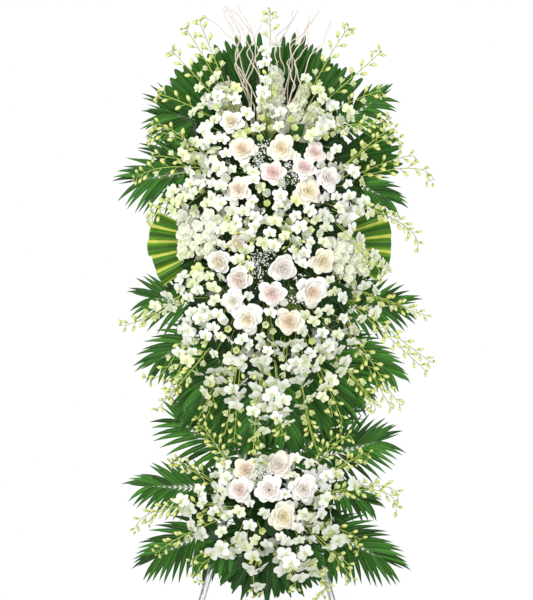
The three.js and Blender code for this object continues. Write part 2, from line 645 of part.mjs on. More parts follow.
// A cloud of gypsophila: fine branches from one stem, each widening into a tiny bloom.
function gypsophila(node, dome, peg, florets, behind) {
  const solids = florets.map(([x, z]) => {
    const centre = onDome(dome, [x, z], -behind * random(0.8, 1.1));
    for (let t = 0.2; t < 1; t += 0.1) hold(node, mix(peg.start, centre, t), STEM_ROOM);
    hold(node, centre, 9);
    const facing = centre.clone().sub(peg.start).normalize();
    const [side, other] = across(facing);
    const neck = ringAt(centre.clone().addScaledVector(facing, -4), side, other, 1.1, 3);
    const foot = ringAt(rootOn(peg, centre), side, other, 1.4, 3);
    const open = ringAt(centre, side, other, 6.5, 4);
    return loft([foot, neck, open, [centre.clone().addScaledVector(facing, 4)]]);
  });
  return join(solids);
}

function addBunch(name, finish, peg, members) {
  addNode(name, join([peg.solid, ...members]), finish);
}

// Roses, each as its head's place on the tier's front, from the mast and the floor, and its width.

const ROSES = {
  roses_upper_left: {
    foam: UPPER_FOAM, dome: UPPER_DOME, peg: ["front", -42, 1405],
    heads: [[-108, 1554, 72], [-75, 1470, 78], [-87, 1350, 70]],
  },
  roses_upper_right: {
    foam: UPPER_FOAM, dome: UPPER_DOME, peg: ["front", 45, 1395],
    heads: [
      [45, 1470, 80], [17, 1400, 74, 8], [144, 1460, 62],
      [112, 1416, 72, 12], [186, 1383, 74], [126, 1344, 80],
    ],
  },
  roses_middle_left: {
    foam: UPPER_FOAM, dome: UPPER_DOME, peg: ["front", -45, 1140],
    heads: [[-90, 1186, 54], [-148, 1132, 76], [-87, 1078, 82, 6], [-102, 1012, 70, -4], [-60, 962, 84]],
  },
  roses_middle_right: {
    foam: UPPER_FOAM, dome: UPPER_DOME, peg: ["front", 45, 1125],
    heads: [[47, 1110, 86], [14, 1036, 80, 6], [168, 1132, 80], [138, 1040, 90], [64, 954, 82]],
  },
  roses_lower_left: {
    foam: LOWER_FOAM, dome: LOWER_DOME, peg: ["front", -26, 421],
    heads: [[-64, 516, 78], [-82, 456, 76, 6], [6, 458, 80, 14]],
  },
  roses_lower_right: {
    foam: LOWER_FOAM, dome: LOWER_DOME, peg: ["front", 20, 411],
    heads: [[36, 534, 82], [112, 458, 80], [50, 376, 84]],
  },
};

// Orchids: where each long stem passes half way (via) and ends (tip), and the places of single blooms,
// from the mast and the floor.

const ORCHIDS = {
  orchids_top: {
    foam: UPPER_FOAM, dome: UPPER_DOME, peg: ["top", 4, -108],
    florets: [[-51, 1588], [-12, 1636], [72, 1592]],
    stems: [{ via: [9, 1690], tip: [6, 1908], blooms: 4, from: 0.3, proud: -14 }],
  },
  orchids_top_left: {
    foam: UPPER_FOAM, dome: UPPER_DOME, peg: ["top", -64, FRONT_ROW],
    florets: [[-120, 1622]],
    stems: [
      { via: [-144, 1710], tip: [-198, 1863] },
      { via: [-171, 1716], tip: [-243, 1827] },
      { via: [-192, 1665], tip: [-282, 1764] },
      { via: [-210, 1590], tip: [-324, 1629] },
    ],
  },
  orchids_top_right: {
    foam: UPPER_FOAM, dome: UPPER_DOME, peg: ["top", 64, FRONT_ROW],
    florets: [[132, 1600], [186, 1540]],
    stems: [
      { via: [162, 1704], tip: [249, 1833] },
      { via: [230, 1665], tip: [327, 1770] },
      { via: [226, 1600], tip: [333, 1638] },
      { via: [234, 1540], tip: [363, 1566] },
    ],
  },
  orchids_left_high: {
    foam: UPPER_FOAM, dome: UPPER_DOME, peg: ["left", 1405, FRONT_ROW],
    florets: [[-166, 1496], [-142, 1412], [-182, 1360], [-138, 1306]],
    stems: [
      { via: [-228, 1484], tip: [-360, 1494] },
      { via: [-240, 1416], tip: [-402, 1377] },
      { via: [-236, 1335], tip: [-360, 1257] },
    ],
  },
  orchids_left: {
    foam: UPPER_FOAM, dome: UPPER_DOME, peg: ["left", 1130, FRONT_ROW],
    florets: [[-252, 1088], [-206, 1044], [-176, 972], [-236, 930]],
    stems: [
      { via: [-264, 1030], tip: [-441, 945], blooms: 3, from: 0.36 },
      { via: [-231, 930], tip: [-372, 789], blooms: 3, from: 0.36 },
    ],
  },
  orchids_bottom_left: {
    foam: UPPER_FOAM, dome: UPPER_DOME, peg: ["bottom", -66, FRONT_ROW],
    florets: [[-128, 892], [-102, 838]],
    stems: [
      { via: [-192, 850], tip: [-291, 726], from: 0.36, blooms: 3 },
      { via: [-138, 790], tip: [-198, 633] },
      { via: [-84, 775], tip: [-96, 600], proud: 12 },
    ],
  },
  orchids_bottom: {
    foam: UPPER_FOAM, dome: UPPER_DOME, peg: ["bottom", 6, FRONT_ROW],
    florets: [[-16, 908], [-28, 842], [32, 852]],
    stems: [
      { via: [-18, 750], tip: [-15, 534], blooms: 3, from: 0.34, proud: 30 },
      { via: [33, 770], tip: [36, 630], proud: 16 },
    ],
  },
  orchids_bottom_right: {
    foam: UPPER_FOAM, dome: UPPER_DOME, peg: ["bottom", 68, FRONT_ROW],
    florets: [[120, 892], [96, 832]],
    stems: [
      { via: [108, 750], tip: [162, 570], proud: 16 },
      { via: [165, 800], tip: [213, 660] },
      { via: [225, 830], tip: [309, 687], from: 0.36, blooms: 3 },
    ],
  },
  orchids_right: {
    foam: UPPER_FOAM, dome: UPPER_DOME, peg: ["right", 1105, FRONT_ROW],
    florets: [[214, 1030], [232, 962], [258, 895]],
    stems: [
      { via: [276, 870], tip: [378, 702], from: 0.36, blooms: 3 },
      { via: [330, 940], tip: [477, 810], from: 0.36, blooms: 3 },
      { via: [320, 1030], tip: [489, 975] },
    ],
  },
  orchids_right_high: {
    foam: UPPER_FOAM, dome: UPPER_DOME, peg: ["right", 1335, FRONT_ROW],
    florets: [[222, 1304], [258, 1400], [240, 1500]],
    stems: [
      { via: [255, 1205], tip: [342, 1086] },
      { via: [309, 1290], tip: [453, 1167] },
      { via: [318, 1400], tip: [510, 1365], from: 0.36, blooms: 3 },
      { via: [276, 1455], tip: [402, 1464] },
    ],
  },
  orchids_centre: {
    foam: UPPER_FOAM, dome: UPPER_DOME, peg: ["front", 0, 1285],
    florets: [
      [-78, 1284], [-36, 1236], [-6, 1306], [-112, 1232], [60, 1284], [110, 1236], [166, 1276], [200, 1232],
    ],
    stems: [
      { via: [-50, 1215], tip: [-40, 1085], blooms: 2, from: 0.3, to: 0.5, proud: 14 },
      { via: [52, 1250], tip: [54, 1164], blooms: 2, from: 0.4, to: 0.7 },
    ],
  },
  orchids_lower_left: {
    foam: LOWER_FOAM, dome: LOWER_DOME, peg: ["front", -46, 404],
    florets: [[-141, 505], [-136, 405]],
    stems: [
      { via: [-120, 540], tip: [-180, 588] },
      { via: [-174, 490], tip: [-279, 522] },
      { via: [-222, 410], tip: [-396, 321], blooms: 3, from: 0.36 },
      { via: [-186, 350], tip: [-330, 261], blooms: 3, from: 0.36 },
    ],
  },
  orchids_lower_bottom: {
    foam: LOWER_FOAM, dome: LOWER_DOME, peg: ["bottom", 0, FRONT_ROW],
    florets: [[-8, 330, 8], [-62, 352], [60, 302]],
    stems: [
      { via: [-120, 280], tip: [-201, 174] },
      { via: [-30, 250], tip: [-24, 138] },
      { via: [52, 250], tip: [78, 153] },
      { via: [118, 250], tip: [144, 126] },
    ],
  },
  orchids_lower_right: {
    foam: LOWER_FOAM, dome: LOWER_DOME, peg: ["front", 46, 404],
    florets: [[172, 505], [176, 430], [130, 372]],
    stems: [
      { via: [168, 290], tip: [240, 183] },
      { via: [186, 350], tip: [267, 300] },
      { via: [231, 450], tip: [387, 372], blooms: 3, from: 0.36 },
      { via: [198, 510], tip: [297, 528] },
      { via: [140, 540], tip: [228, 594] },
    ],
  },
};

// Palm fronds: where each rib begins and ends, the length of its leaflets and its depth at both ends.

const PALMS = {
  palm_left_high: {
    foam: UPPER_FOAM, peg: ["left", 1440, BACK_ROW],
    fronds: [
      { base: [-140, 1532], tip: [-318, 1580], length: 100, y: [-34, 8] },
      { base: [-150, 1430], tip: [-384, 1386], length: 140, y: [-46, -12], curl: 8, steps: 10 },
    ],
  },
  palm_left_low: {
    foam: UPPER_FOAM, peg: ["left", 1100, BACK_ROW],
    fronds: [
      { base: [-160, 990], tip: [-356, 1030], length: 118, y: [-34, 0], steps: 10 },
      { base: [-160, 935], tip: [-336, 836], length: 116, y: [-48, -24], steps: 10 },
      { base: [-130, 830], tip: [-220, 742], length: 92, y: [-56, -40], steps: 7 },
    ],
  },
  palm_right_high: {
    foam: UPPER_FOAM, peg: ["right", 1440, BACK_ROW],
    fronds: [
      { base: [176, 1524], tip: [346, 1640], length: 92, y: [-40, 6] },
      { base: [180, 1410], tip: [372, 1326], length: 100, y: [-52, -38] },
    ],
  },
  palm_right_low: {
    foam: UPPER_FOAM, peg: ["right", 1100, BACK_ROW],
    fronds: [
      { base: [200, 985], tip: [402, 1008], length: 112, y: [-34, 0], steps: 10 },
      { base: [190, 915], tip: [380, 800], length: 100, y: [-48, -24] },
      { base: [190, 830], tip: [290, 744], length: 84, y: [-56, -40], steps: 7 },
    ],
  },
  palm_lower_left_high: {
    foam: LOWER_FOAM, peg: ["left", 452, BACK_ROW],
    fronds: [{ base: [-110, 540], tip: [-273, 660], length: 124, y: [-44, -20], steps: 10 }],
  },
  palm_lower_left: {
    foam: LOWER_FOAM, peg: ["left", 375, BACK_ROW],
    fronds: [
      { base: [-130, 446], tip: [-370, 456], length: 112, y: [-30, 10], steps: 10 },
      { base: [-125, 352], tip: [-340, 240], length: 126, y: [-46, -30], steps: 10 },
    ],
  },
  palm_lower_right_high: {
    foam: LOWER_FOAM, peg: ["right", 452, BACK_ROW],
    fronds: [{ base: [115, 525], tip: [345, 596], length: 126, y: [-44, -20], steps: 10 }],
  },
  palm_lower_right: {
    foam: LOWER_FOAM, peg: ["right", 375, BACK_ROW],
    fronds: [
      { base: [150, 455], tip: [312, 405], length: 84, y: [-30, 0], steps: 8 },
      { base: [125, 352], tip: [360, 232], length: 130, y: [-46, -30], steps: 10 },
    ],
  },
};

// Fan leaves and pleated leaves, by the end of the stalk, the reach and the angles that they span.

const FANS = {
  fan_leaves_top: {
    finish: "fan", foam: UPPER_FOAM, peg: ["top", 0, BACK_ROW],
    leaves: [
      { centre: [-16, 1530], y: -34, radius: 300, from: 88, to: 122, segments: 5, notch: 0.66, tilt: -10 },
      { centre: [26, 1530], y: -34, radius: 306, from: 58, to: 88, segments: 5, notch: 0.66, tilt: -22 },
    ],
  },
  fan_leaves_top_left: {
    finish: "fan", foam: UPPER_FOAM, peg: ["top", -58, BACK_ROW],
    leaves: [
      { centre: [-90, 1505], y: -56, radius: 280, from: 100, to: 152, segments: 5, notch: 0.93, tilt: 2 },
    ],
  },
  fan_leaves_top_right: {
    finish: "fan", foam: UPPER_FOAM, peg: ["top", 58, BACK_ROW],
    leaves: [
      { centre: [92, 1505], y: -56, radius: 270, from: 40, to: 78, segments: 4, notch: 0.8, tilt: 2 },
    ],
  },
  fan_leaves_right: {
    finish: "fan", foam: UPPER_FOAM, peg: ["right", 1375, BACK_ROW],
    leaves: [
      { centre: [150, 1422], y: -8, radius: 264, from: -6, to: 34, segments: 7, notch: 0.84, tilt: -14 },
    ],
  },
  fan_leaves_skirt: {
    finish: "fan", foam: UPPER_FOAM, peg: ["bottom", 0, -66],
    leaves: [
      { centre: [-16, 960], y: -70, radius: 370, from: 234, to: 270, segments: 7, notch: 0.62 },
      { centre: [16, 960], y: -70, radius: 370, from: 270, to: 308, segments: 7, notch: 0.62 },
    ],
  },
  fan_leaves_lower: {
    finish: "fan", foam: LOWER_FOAM, peg: ["bottom", 0, -60],
    leaves: [
      { centre: [-10, 345], y: -74, radius: 220, from: 220, to: 268, segments: 5, notch: 0.78, tilt: 2 },
      { centre: [22, 345], y: -80, radius: 226, from: 268, to: 314, segments: 5, notch: 0.74, tilt: 2 },
    ],
  },
  pleated_leaf_left: {
    finish: "pleat", foam: UPPER_FOAM, peg: ["left", 1240, BACK_ROW],
    leaves: [
      { centre: [-140, 1196], y: -48, radius: 222, from: 154, to: 218, segments: 5, notch: 1, pleat: 9 },
    ],
  },
  pleated_leaf_right: {
    finish: "pleat", foam: UPPER_FOAM, peg: ["right", 1220, BACK_ROW],
    leaves: [
      { centre: [140, 1190], y: -48, radius: 234, from: -30, to: 30, segments: 5, notch: 1, pleat: 9 },
    ],
  },
};

// Leafy stems of broad dark leaves between the roses: each leaf's middle and the way that it points.

const SALAL = {
  salal_upper: {
    foam: UPPER_FOAM, dome: UPPER_DOME, peg: ["front", 0, 1428],
    leaves: [[-20, 1500, 1.4], [86, 1520, 0.8], [62, 1340, 5.0, 70]],
  },
  salal_middle: {
    foam: UPPER_FOAM, dome: UPPER_DOME, peg: ["front", 0, 1220],
    leaves: [
      [8, 1238, 1.2], [92, 1184, 0.9], [-98, 1134, 3.5, 92], [112, 1108, 5.6, 70], [182, 1072, 6],
    ],
  },
  salal_lower: {
    foam: UPPER_FOAM, dome: UPPER_DOME, peg: ["front", 0, 1102],
    leaves: [[140, 980, 0.2, 70], [112, 925, 5.4, 74], [20, 956, 4.6, 90], [-112, 966, 3.4, 84]],
  },
};

const GYPSOPHILA = {
  gypsophila_upper: {
    foam: UPPER_FOAM, dome: UPPER_DOME, peg: ["front", -12, 1340], behind: 34,
    florets: [[-22, 1452], [-10, 1470], [-32, 1430], [-14, 1420], [60, 1416], [72, 1394], [62, 1366]],
  },
  gypsophila_middle: {
    foam: UPPER_FOAM, dome: UPPER_DOME, peg: ["front", 4, 1184], behind: 34,
    florets: [
      [-28, 1146], [-6, 1160], [-40, 1118], [-14, 1128], [14, 1176], [-34, 1088], [92, 1076], [84, 1030],
    ],
  },
  gypsophila_lower: {
    foam: LOWER_FOAM, dome: LOWER_DOME, peg: ["front", -2, 456], behind: 26,
    florets: [[-24, 494], [-10, 506], [4, 502], [-36, 488], [-30, 476], [-16, 518]],
  },
};

const STOCK = {
  stock_top: {
    foam: UPPER_FOAM, peg: ["top", 8, -84],
    spikes: [{ base: [14, -100, 1556], tip: [12, -92, 1700], width: 50, whorls: 6 }],
  },
  stock_left: {
    foam: UPPER_FOAM, peg: ["left", 1305, -84],
    spikes: [{ base: [-196, -128, 1282], tip: [-212, -118, 1150], width: 70, whorls: 6 }],
  },
  stock_right: {
    foam: UPPER_FOAM, peg: ["right", 1262, -84],
    spikes: [{ base: [222, -128, 1190], tip: [252, -112, 1078], width: 64, whorls: 6 }],
  },
};

// Bleached curly willow: the places that each twig kinks through, with its depth there.

const WILLOW = {
  willow_left: {
    peg: ["top", -28, -108],
    twigs: [
      [[-48, 1560, -112], [-63, 1680, -104], [-93, 1790, -94], [-142, 1842, -86], [-192, 1878, -76]],
      [[-52, 1610, -122], [-96, 1722, -116], [-84, 1800, -112], [-120, 1860, -106], [-132, 1896, -102]],
      [[-38, 1600, -132], [-72, 1668, -130], [-42, 1750, -128], [-66, 1812, -124], [-111, 1890, -120]],
      [[-26, 1570, -142], [-20, 1680, -144], [-60, 1760, -142], [-24, 1830, -140], [-10, 1872, -138]],
    ],
  },
  willow_right: {
    peg: ["top", 40, -108],
    twigs: [
      [[56, 1570, -112], [66, 1690, -106], [72, 1780, -100], [110, 1822, -94], [157, 1893, -86]],
      [[64, 1600, -120], [87, 1700, -116], [69, 1790, -113], [120, 1830, -108], [138, 1866, -102]],
      [[70, 1590, -130], [104, 1680, -127], [132, 1756, -124], [168, 1788, -118], [192, 1860, -112]],
      [[50, 1580, -142], [84, 1660, -144], [60, 1730, -142], [96, 1782, -140], [90, 1830, -138]],
    ],
  },
};

function pegOf({ foam = UPPER_FOAM, peg: [face, along, row] }) {
  return pegAt(foam, face, along, row);
}

function addFlowers() {
  for (const [name, bunch] of Object.entries(STOCK)) {
    const peg = pegOf(bunch);
    addBunch(name, "stock", peg, bunch.spikes.map((spike) => stockSpike(name, peg, spike)));
  }
  for (const [name, bunch] of Object.entries(ROSES)) {
    const peg = pegOf(bunch);
    addBunch(name, "rose", peg, bunch.heads.map((head) => rose(name, bunch.dome, peg, head)));
  }
  for (const [name, bunch] of Object.entries(WILLOW)) {
    const peg = pegOf(bunch);
    addBunch(name, "willow", peg, bunch.twigs.map((places) => twig(name, peg, places)));
  }
  for (const [name, bunch] of Object.entries(GYPSOPHILA)) {
    const peg = pegOf(bunch);
    addBunch(name, "gypsophila", peg, [gypsophila(name, bunch.dome, peg, bunch.florets, bunch.behind)]);
  }
  for (const [name, bunch] of Object.entries(SALAL)) {
    const peg = pegOf(bunch);
    addBunch(name, "salal", peg, [leafyStem(name, bunch.dome, peg, bunch.leaves)]);
  }
  for (const [name, bunch] of Object.entries(ORCHIDS)) {
    const peg = pegOf(bunch);
    const florets = bunch.florets || [];
    addBunch(name, "orchid", peg, [
      ...florets.map((place, k) => orchidFloret(name, bunch.dome, peg, place, k)),
      ...bunch.stems.map((stem) => orchidStem(name, bunch.dome, peg, stem)),
    ]);
  }
}

function addFoliage() {
  for (const [name, bunch] of Object.entries(PALMS)) {
    const peg = pegOf(bunch);
    addBunch(name, "palm", peg, bunch.fronds.map((row) => frond(peg, row)));
  }
  for (const [name, bunch] of Object.entries(FANS)) {
    const peg = pegOf(bunch);
    addBunch(name, bunch.finish, peg, bunch.leaves.map((row) => fan(peg, row)));
  }
}

addStand();
addCage("cage_upper", UPPER_FOAM, UPPER_CAGE);
addCage("cage_lower", LOWER_FOAM, LOWER_CAGE);
addFlowers();
addFoliage();
addFoam("foam_upper", UPPER_FOAM);
addFoam("foam_lower", LOWER_FOAM);

// The origin is on the floor under the middle of the spray's outline.
const outline = new THREE.Box3().setFromObject(spray);
const middle = outline.getCenter(new THREE.Vector3());
spray.position.set(-middle.x, -middle.y, 0);
spray.updateMatrixWorld(true);

export default spray;
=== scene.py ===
# A standing funeral spray in two tiers on a steel tripod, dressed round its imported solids: every stem,
# bloom, bud and leaf, the tubes of the stand, and the studio. Tables and rules are in millimetres from
# the mast's foot, and become metres in the frame's own place at the end. The front faces -Y.
import json
import math

import bmesh
import bpy
import numpy as np
from mathutils import Matrix, Vector

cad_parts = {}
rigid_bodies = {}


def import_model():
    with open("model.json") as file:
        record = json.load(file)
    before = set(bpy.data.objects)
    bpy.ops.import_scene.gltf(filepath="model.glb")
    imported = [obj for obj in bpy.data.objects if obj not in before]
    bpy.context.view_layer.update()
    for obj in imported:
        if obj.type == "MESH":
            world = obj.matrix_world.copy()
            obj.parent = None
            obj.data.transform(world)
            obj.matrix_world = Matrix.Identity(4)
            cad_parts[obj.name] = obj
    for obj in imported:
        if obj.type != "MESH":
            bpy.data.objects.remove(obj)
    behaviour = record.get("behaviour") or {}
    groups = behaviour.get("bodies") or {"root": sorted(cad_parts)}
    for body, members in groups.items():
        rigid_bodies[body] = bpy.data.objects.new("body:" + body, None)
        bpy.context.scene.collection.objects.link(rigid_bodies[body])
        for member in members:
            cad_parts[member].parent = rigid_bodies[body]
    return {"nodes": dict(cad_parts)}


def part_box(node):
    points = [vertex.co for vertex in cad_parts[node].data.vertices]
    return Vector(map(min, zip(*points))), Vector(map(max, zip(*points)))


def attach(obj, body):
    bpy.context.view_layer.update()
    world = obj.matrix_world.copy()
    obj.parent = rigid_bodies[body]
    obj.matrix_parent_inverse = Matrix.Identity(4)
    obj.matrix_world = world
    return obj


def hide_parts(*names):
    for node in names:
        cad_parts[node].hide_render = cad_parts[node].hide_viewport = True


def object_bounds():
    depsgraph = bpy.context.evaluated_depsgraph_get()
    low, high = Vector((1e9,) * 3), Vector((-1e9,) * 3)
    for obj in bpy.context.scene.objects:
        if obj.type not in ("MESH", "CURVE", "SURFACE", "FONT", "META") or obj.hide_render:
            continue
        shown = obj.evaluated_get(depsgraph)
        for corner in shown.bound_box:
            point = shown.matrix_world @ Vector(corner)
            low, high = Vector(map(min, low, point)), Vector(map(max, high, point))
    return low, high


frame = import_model()
cad_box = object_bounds()

# Sizes and driving dimensions

MM = 0.001
mast_low, mast_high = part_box("mast")
MAST_FOOT = np.array([(mast_low.x + mast_high.x) / 2, (mast_low.y + mast_high.y) / 2, 0.0])

GAP = 0.4
HUB_Z = 720
HUB = {"radius": 27, "height": 56}
SLEEVE = {"radius": 14, "from": -14, "to": 42, "socket_from": 22, "inset": 4}
MAST = {"radius": 12.5, "wall": 1.5, "bottom": 322, "top": 1492}
LEG = {"radius": 9.5, "wall": 1.2}
FOOT = {"radius": 14, "height": 30, "socket_from": 9, "below": 40}
FEET = {"left": (-232, -200, 0), "right": (232, -200, 0), "rear": (0, 330, 0)}
KNOB = {"shaft": 3, "head": 11, "length": 13, "rise": 15, "stand": 2}

FOAM_FRONT = -120
UPPER_FOAM = {"half": 90, "low": 1050, "high": 1480}
LOWER_FOAM = {"half": 60, "low": 350, "high": 470}
PEG = {"radius": 8, "depth": 30, "proud": 9, "stem_depth": 5}
BACK_ROW = -51
FRONT_ROW = -94

UPPER_DOME = {"z": 1290, "width": 330, "height": 560, "rim": -84, "crown": 150, "droop": 0.12}
LOWER_DOME = {"z": 430, "width": 280, "height": 210, "rim": -112, "crown": 110, "droop": 0.35}

BLOOM = {"size": 40, "reach": 22, "lift": 12, "layer": 24}
BUD_LENGTH = 34
LEAF_LENGTH = 64
STEM_ROOM = 5
SPIKE_BALLS = 12
BLOOM_SPACING = 1.3
SWINGS = [
    (0, 1), (0.5, 1), (-0.5, 1), (0, 1.5), (1, 1.1), (-1, 1.1), (0.4, 1.9), (-0.4, 1.9), (3.1, 1),
]
SHIFTS = [0, 8, -8, 16, -16, 24, -24, 32, -32, 40, -40, 50]
GOLDEN_ANGLE = math.pi * (3 - math.sqrt(5))


def upper(*peg, **parts):
    """A bunch in the upper tier: the foam's face and two places on it for the peg, then what it has."""
    return {"foam": UPPER_FOAM, "dome": UPPER_DOME, "peg": peg, **parts}


def lower(*peg, **parts):
    return {"foam": LOWER_FOAM, "dome": LOWER_DOME, "peg": peg, **parts}


# A rose has its place, its width and how far it stands out.
ROSES = {
    "roses_upper_left": upper("front", -42, 1405, heads=[(-108, 1554, 72), (-75, 1470, 78), (-87, 1350, 70)]),
    "roses_upper_right": upper("front", 45, 1395, heads=[
        (45, 1470, 80), (17, 1400, 74, 8), (144, 1460, 62), (112, 1416, 72, 12), (186, 1383, 74),
        (126, 1344, 80),
    ]),
    "roses_middle_left": upper("front", -45, 1140, heads=[
        (-90, 1186, 54), (-148, 1132, 76), (-87, 1078, 82, 6), (-102, 1012, 70, -4), (-60, 962, 84),
    ]),
    "roses_middle_right": upper("front", 45, 1125, heads=[
        (47, 1110, 86), (14, 1036, 80, 6), (168, 1132, 80), (138, 1040, 90), (64, 954, 82),
    ]),
    "roses_lower_left": lower("front", -26, 421, heads=[(-64, 516, 78), (-82, 456, 76, 6), (6, 458, 80, 14)]),
    "roses_lower_right": lower("front", 20, 411, heads=[(36, 534, 82), (112, 458, 80), (50, 376, 84)]),
}

# A stem has the place that it passes and its tip, then how far it stands out, its blooms and where
# the first and the last of them stand. A floret has its place.
ORCHIDS = {
    "orchids_top": upper("top", 4, -108, florets=[(-51, 1588), (-12, 1636), (72, 1592)], stems=[
        (9, 1690, 6, 1908, -14, 4, 0.3),
    ]),
    "orchids_top_left": upper("top", -64, FRONT_ROW, florets=[(-120, 1622)], stems=[
        (-144, 1710, -198, 1863), (-171, 1716, -243, 1827), (-192, 1665, -282, 1764), (-210, 1590, -324, 1629),
    ]),
    "orchids_top_right": upper("top", 64, FRONT_ROW, florets=[(132, 1600), (186, 1540)], stems=[
        (162, 1704, 249, 1833), (230, 1665, 327, 1770), (226, 1600, 333, 1638), (234, 1540, 363, 1566),
    ]),
    "orchids_left_high": upper("left", 1405, FRONT_ROW, florets=[
        (-166, 1496), (-142, 1412), (-182, 1360), (-138, 1306),
    ], stems=[(-228, 1484, -360, 1494), (-240, 1416, -402, 1377), (-236, 1335, -360, 1257)]),
    "orchids_left": upper("left", 1130, FRONT_ROW, florets=[
        (-252, 1088), (-206, 1044), (-176, 972), (-236, 930),
    ], stems=[(-264, 1030, -441, 945, 0, 3, 0.36), (-231, 930, -372, 789, 0, 3, 0.36)]),
    "orchids_bottom_left": upper("bottom", -66, FRONT_ROW, florets=[(-128, 892), (-102, 838)], stems=[
        (-192, 850, -291, 726, 0, 3, 0.36), (-138, 790, -198, 633), (-84, 775, -96, 600, 12),
    ]),
    "orchids_bottom": upper("bottom", 6, FRONT_ROW, florets=[(-16, 908), (-28, 842), (32, 852)], stems=[
        (-18, 750, -15, 534, 30, 3, 0.34), (33, 770, 36, 630, 16),
    ]),
    "orchids_bottom_right": upper("bottom", 68, FRONT_ROW, florets=[(120, 892), (96, 832)], stems=[
        (108, 750, 162, 570, 16), (165, 800, 213, 660), (225, 830, 309, 687, 0, 3, 0.36),
    ]),
    "orchids_right": upper("right", 1105, FRONT_ROW, florets=[(214, 1030), (232, 962), (258, 895)], stems=[
        (276, 870, 378, 702, 0, 3, 0.36), (330, 940, 477, 810, 0, 3, 0.36), (320, 1030, 489, 975),
    ]),
    "orchids_right_high": upper("right", 1335, FRONT_ROW, florets=[
        (222, 1304), (258, 1400), (240, 1500),
    ], stems=[
        (255, 1205, 342, 1086), (309, 1290, 453, 1167), (318, 1400, 510, 1365, 0, 3, 0.36),
        (276, 1455, 402, 1464),
    ]),
    "orchids_centre": upper("front", 0, 1285, florets=[
        (-78, 1284), (-36, 1236), (-6, 1306), (-112, 1232), (60, 1284), (110, 1236), (166, 1276), (200, 1232),
    ], stems=[(-50, 1215, -40, 1085, 14, 2, 0.3, 0.5), (52, 1250, 54, 1164, 0, 2, 0.4, 0.7)]),
    "orchids_lower_left": lower("front", -46, 404, florets=[(-141, 505), (-136, 405)], stems=[
        (-120, 540, -180, 588), (-174, 490, -279, 522), (-222, 410, -396, 321, 0, 3, 0.36),
        (-186, 350, -330, 261, 0, 3, 0.36),
    ]),
    "orchids_lower_bottom": lower("bottom", 0, FRONT_ROW, florets=[(-8, 330), (-62, 352), (60, 302)], stems=[
        (-120, 280, -201, 174), (-30, 250, -24, 138), (52, 250, 78, 153), (118, 250, 144, 126),
    ]),
    "orchids_lower_right": lower("front", 46, 404, florets=[(172, 505), (176, 430), (130, 372)], stems=[
        (168, 290, 240, 183), (186, 350, 267, 300), (231, 450, 387, 372, 0, 3, 0.36), (198, 510, 297, 528),
        (140, 540, 228, 594),
    ]),
}

# A frond has both ends of its rib, the length of its leaflets, the depths of both ends and its bend.
PALMS = {
    "palm_left_high": upper("left", 1440, BACK_ROW, fronds=[
        ((-140, 1532), (-318, 1580), 100, (-34, 8)), ((-150, 1430), (-384, 1386), 140, (-46, -12), 8),
        ((-140, 1420), (-310, 1455), 136, (-28, -12)), ((-110, 1420), (-262, 1350), 100, (-30, -16)),
        ((-110, 1530), (-290, 1590), 150, (-30, -16)), ((-150, 1340), (-256, 1296), 80, (-30, -20)),
    ]),
    "palm_left_low": upper("left", 1100, BACK_ROW, fronds=[
        ((-160, 990), (-356, 1030), 118, (-34, 0)), ((-160, 935), (-336, 836), 116, (-48, -24)),
        ((-130, 830), (-220, 742), 92, (-56, -40)), ((-120, 880), (-250, 800), 110, (-60, -44)),
        ((-120, 1000), (-262, 1070), 96, (-30, -16)),
    ]),
    "palm_right_high": upper("right", 1440, BACK_ROW, fronds=[
        ((176, 1524), (346, 1640), 92, (-40, 6)), ((180, 1410), (372, 1326), 100, (-52, -38)),
        ((120, 1430), (262, 1380), 110, (-30, -16)),
    ]),
    "palm_right_low": upper("right", 1100, BACK_ROW, fronds=[
        ((200, 985), (402, 1008), 112, (-34, 0)), ((190, 915), (380, 800), 100, (-48, -24)),
        ((190, 830), (290, 744), 84, (-56, -40)), ((140, 880), (300, 780), 110, (-60, -44)),
        ((130, 1000), (290, 1062), 96, (-30, -16)),
    ]),
    "palm_lower_left_high": lower("left", 452, BACK_ROW, fronds=[
        ((-110, 540), (-273, 660), 124, (-44, -20)), ((-70, 520), (-168, 720), 126, (-48, -34)),
        ((-30, 520), (-46, 736), 120, (-52, -40)),
    ]),
    "palm_lower_left": lower("left", 375, BACK_ROW, fronds=[
        ((-130, 446), (-370, 456), 112, (-30, 10)), ((-125, 352), (-340, 240), 126, (-46, -30)),
        ((-90, 330), (-190, 215), 90, (-50, -36)),
    ]),
    "palm_lower_right_high": lower("right", 452, BACK_ROW, fronds=[
        ((115, 525), (345, 596), 126, (-44, -20)), ((75, 520), (215, 706), 126, (-48, -34)),
        ((34, 520), (62, 736), 120, (-52, -40)),
    ]),
    "palm_lower_right": lower("right", 375, BACK_ROW, fronds=[
        ((150, 455), (312, 405), 84, (-30, 0)), ((125, 352), (360, 232), 130, (-46, -30)),
        ((95, 330), (210, 215), 90, (-50, -36)),
    ]),
}

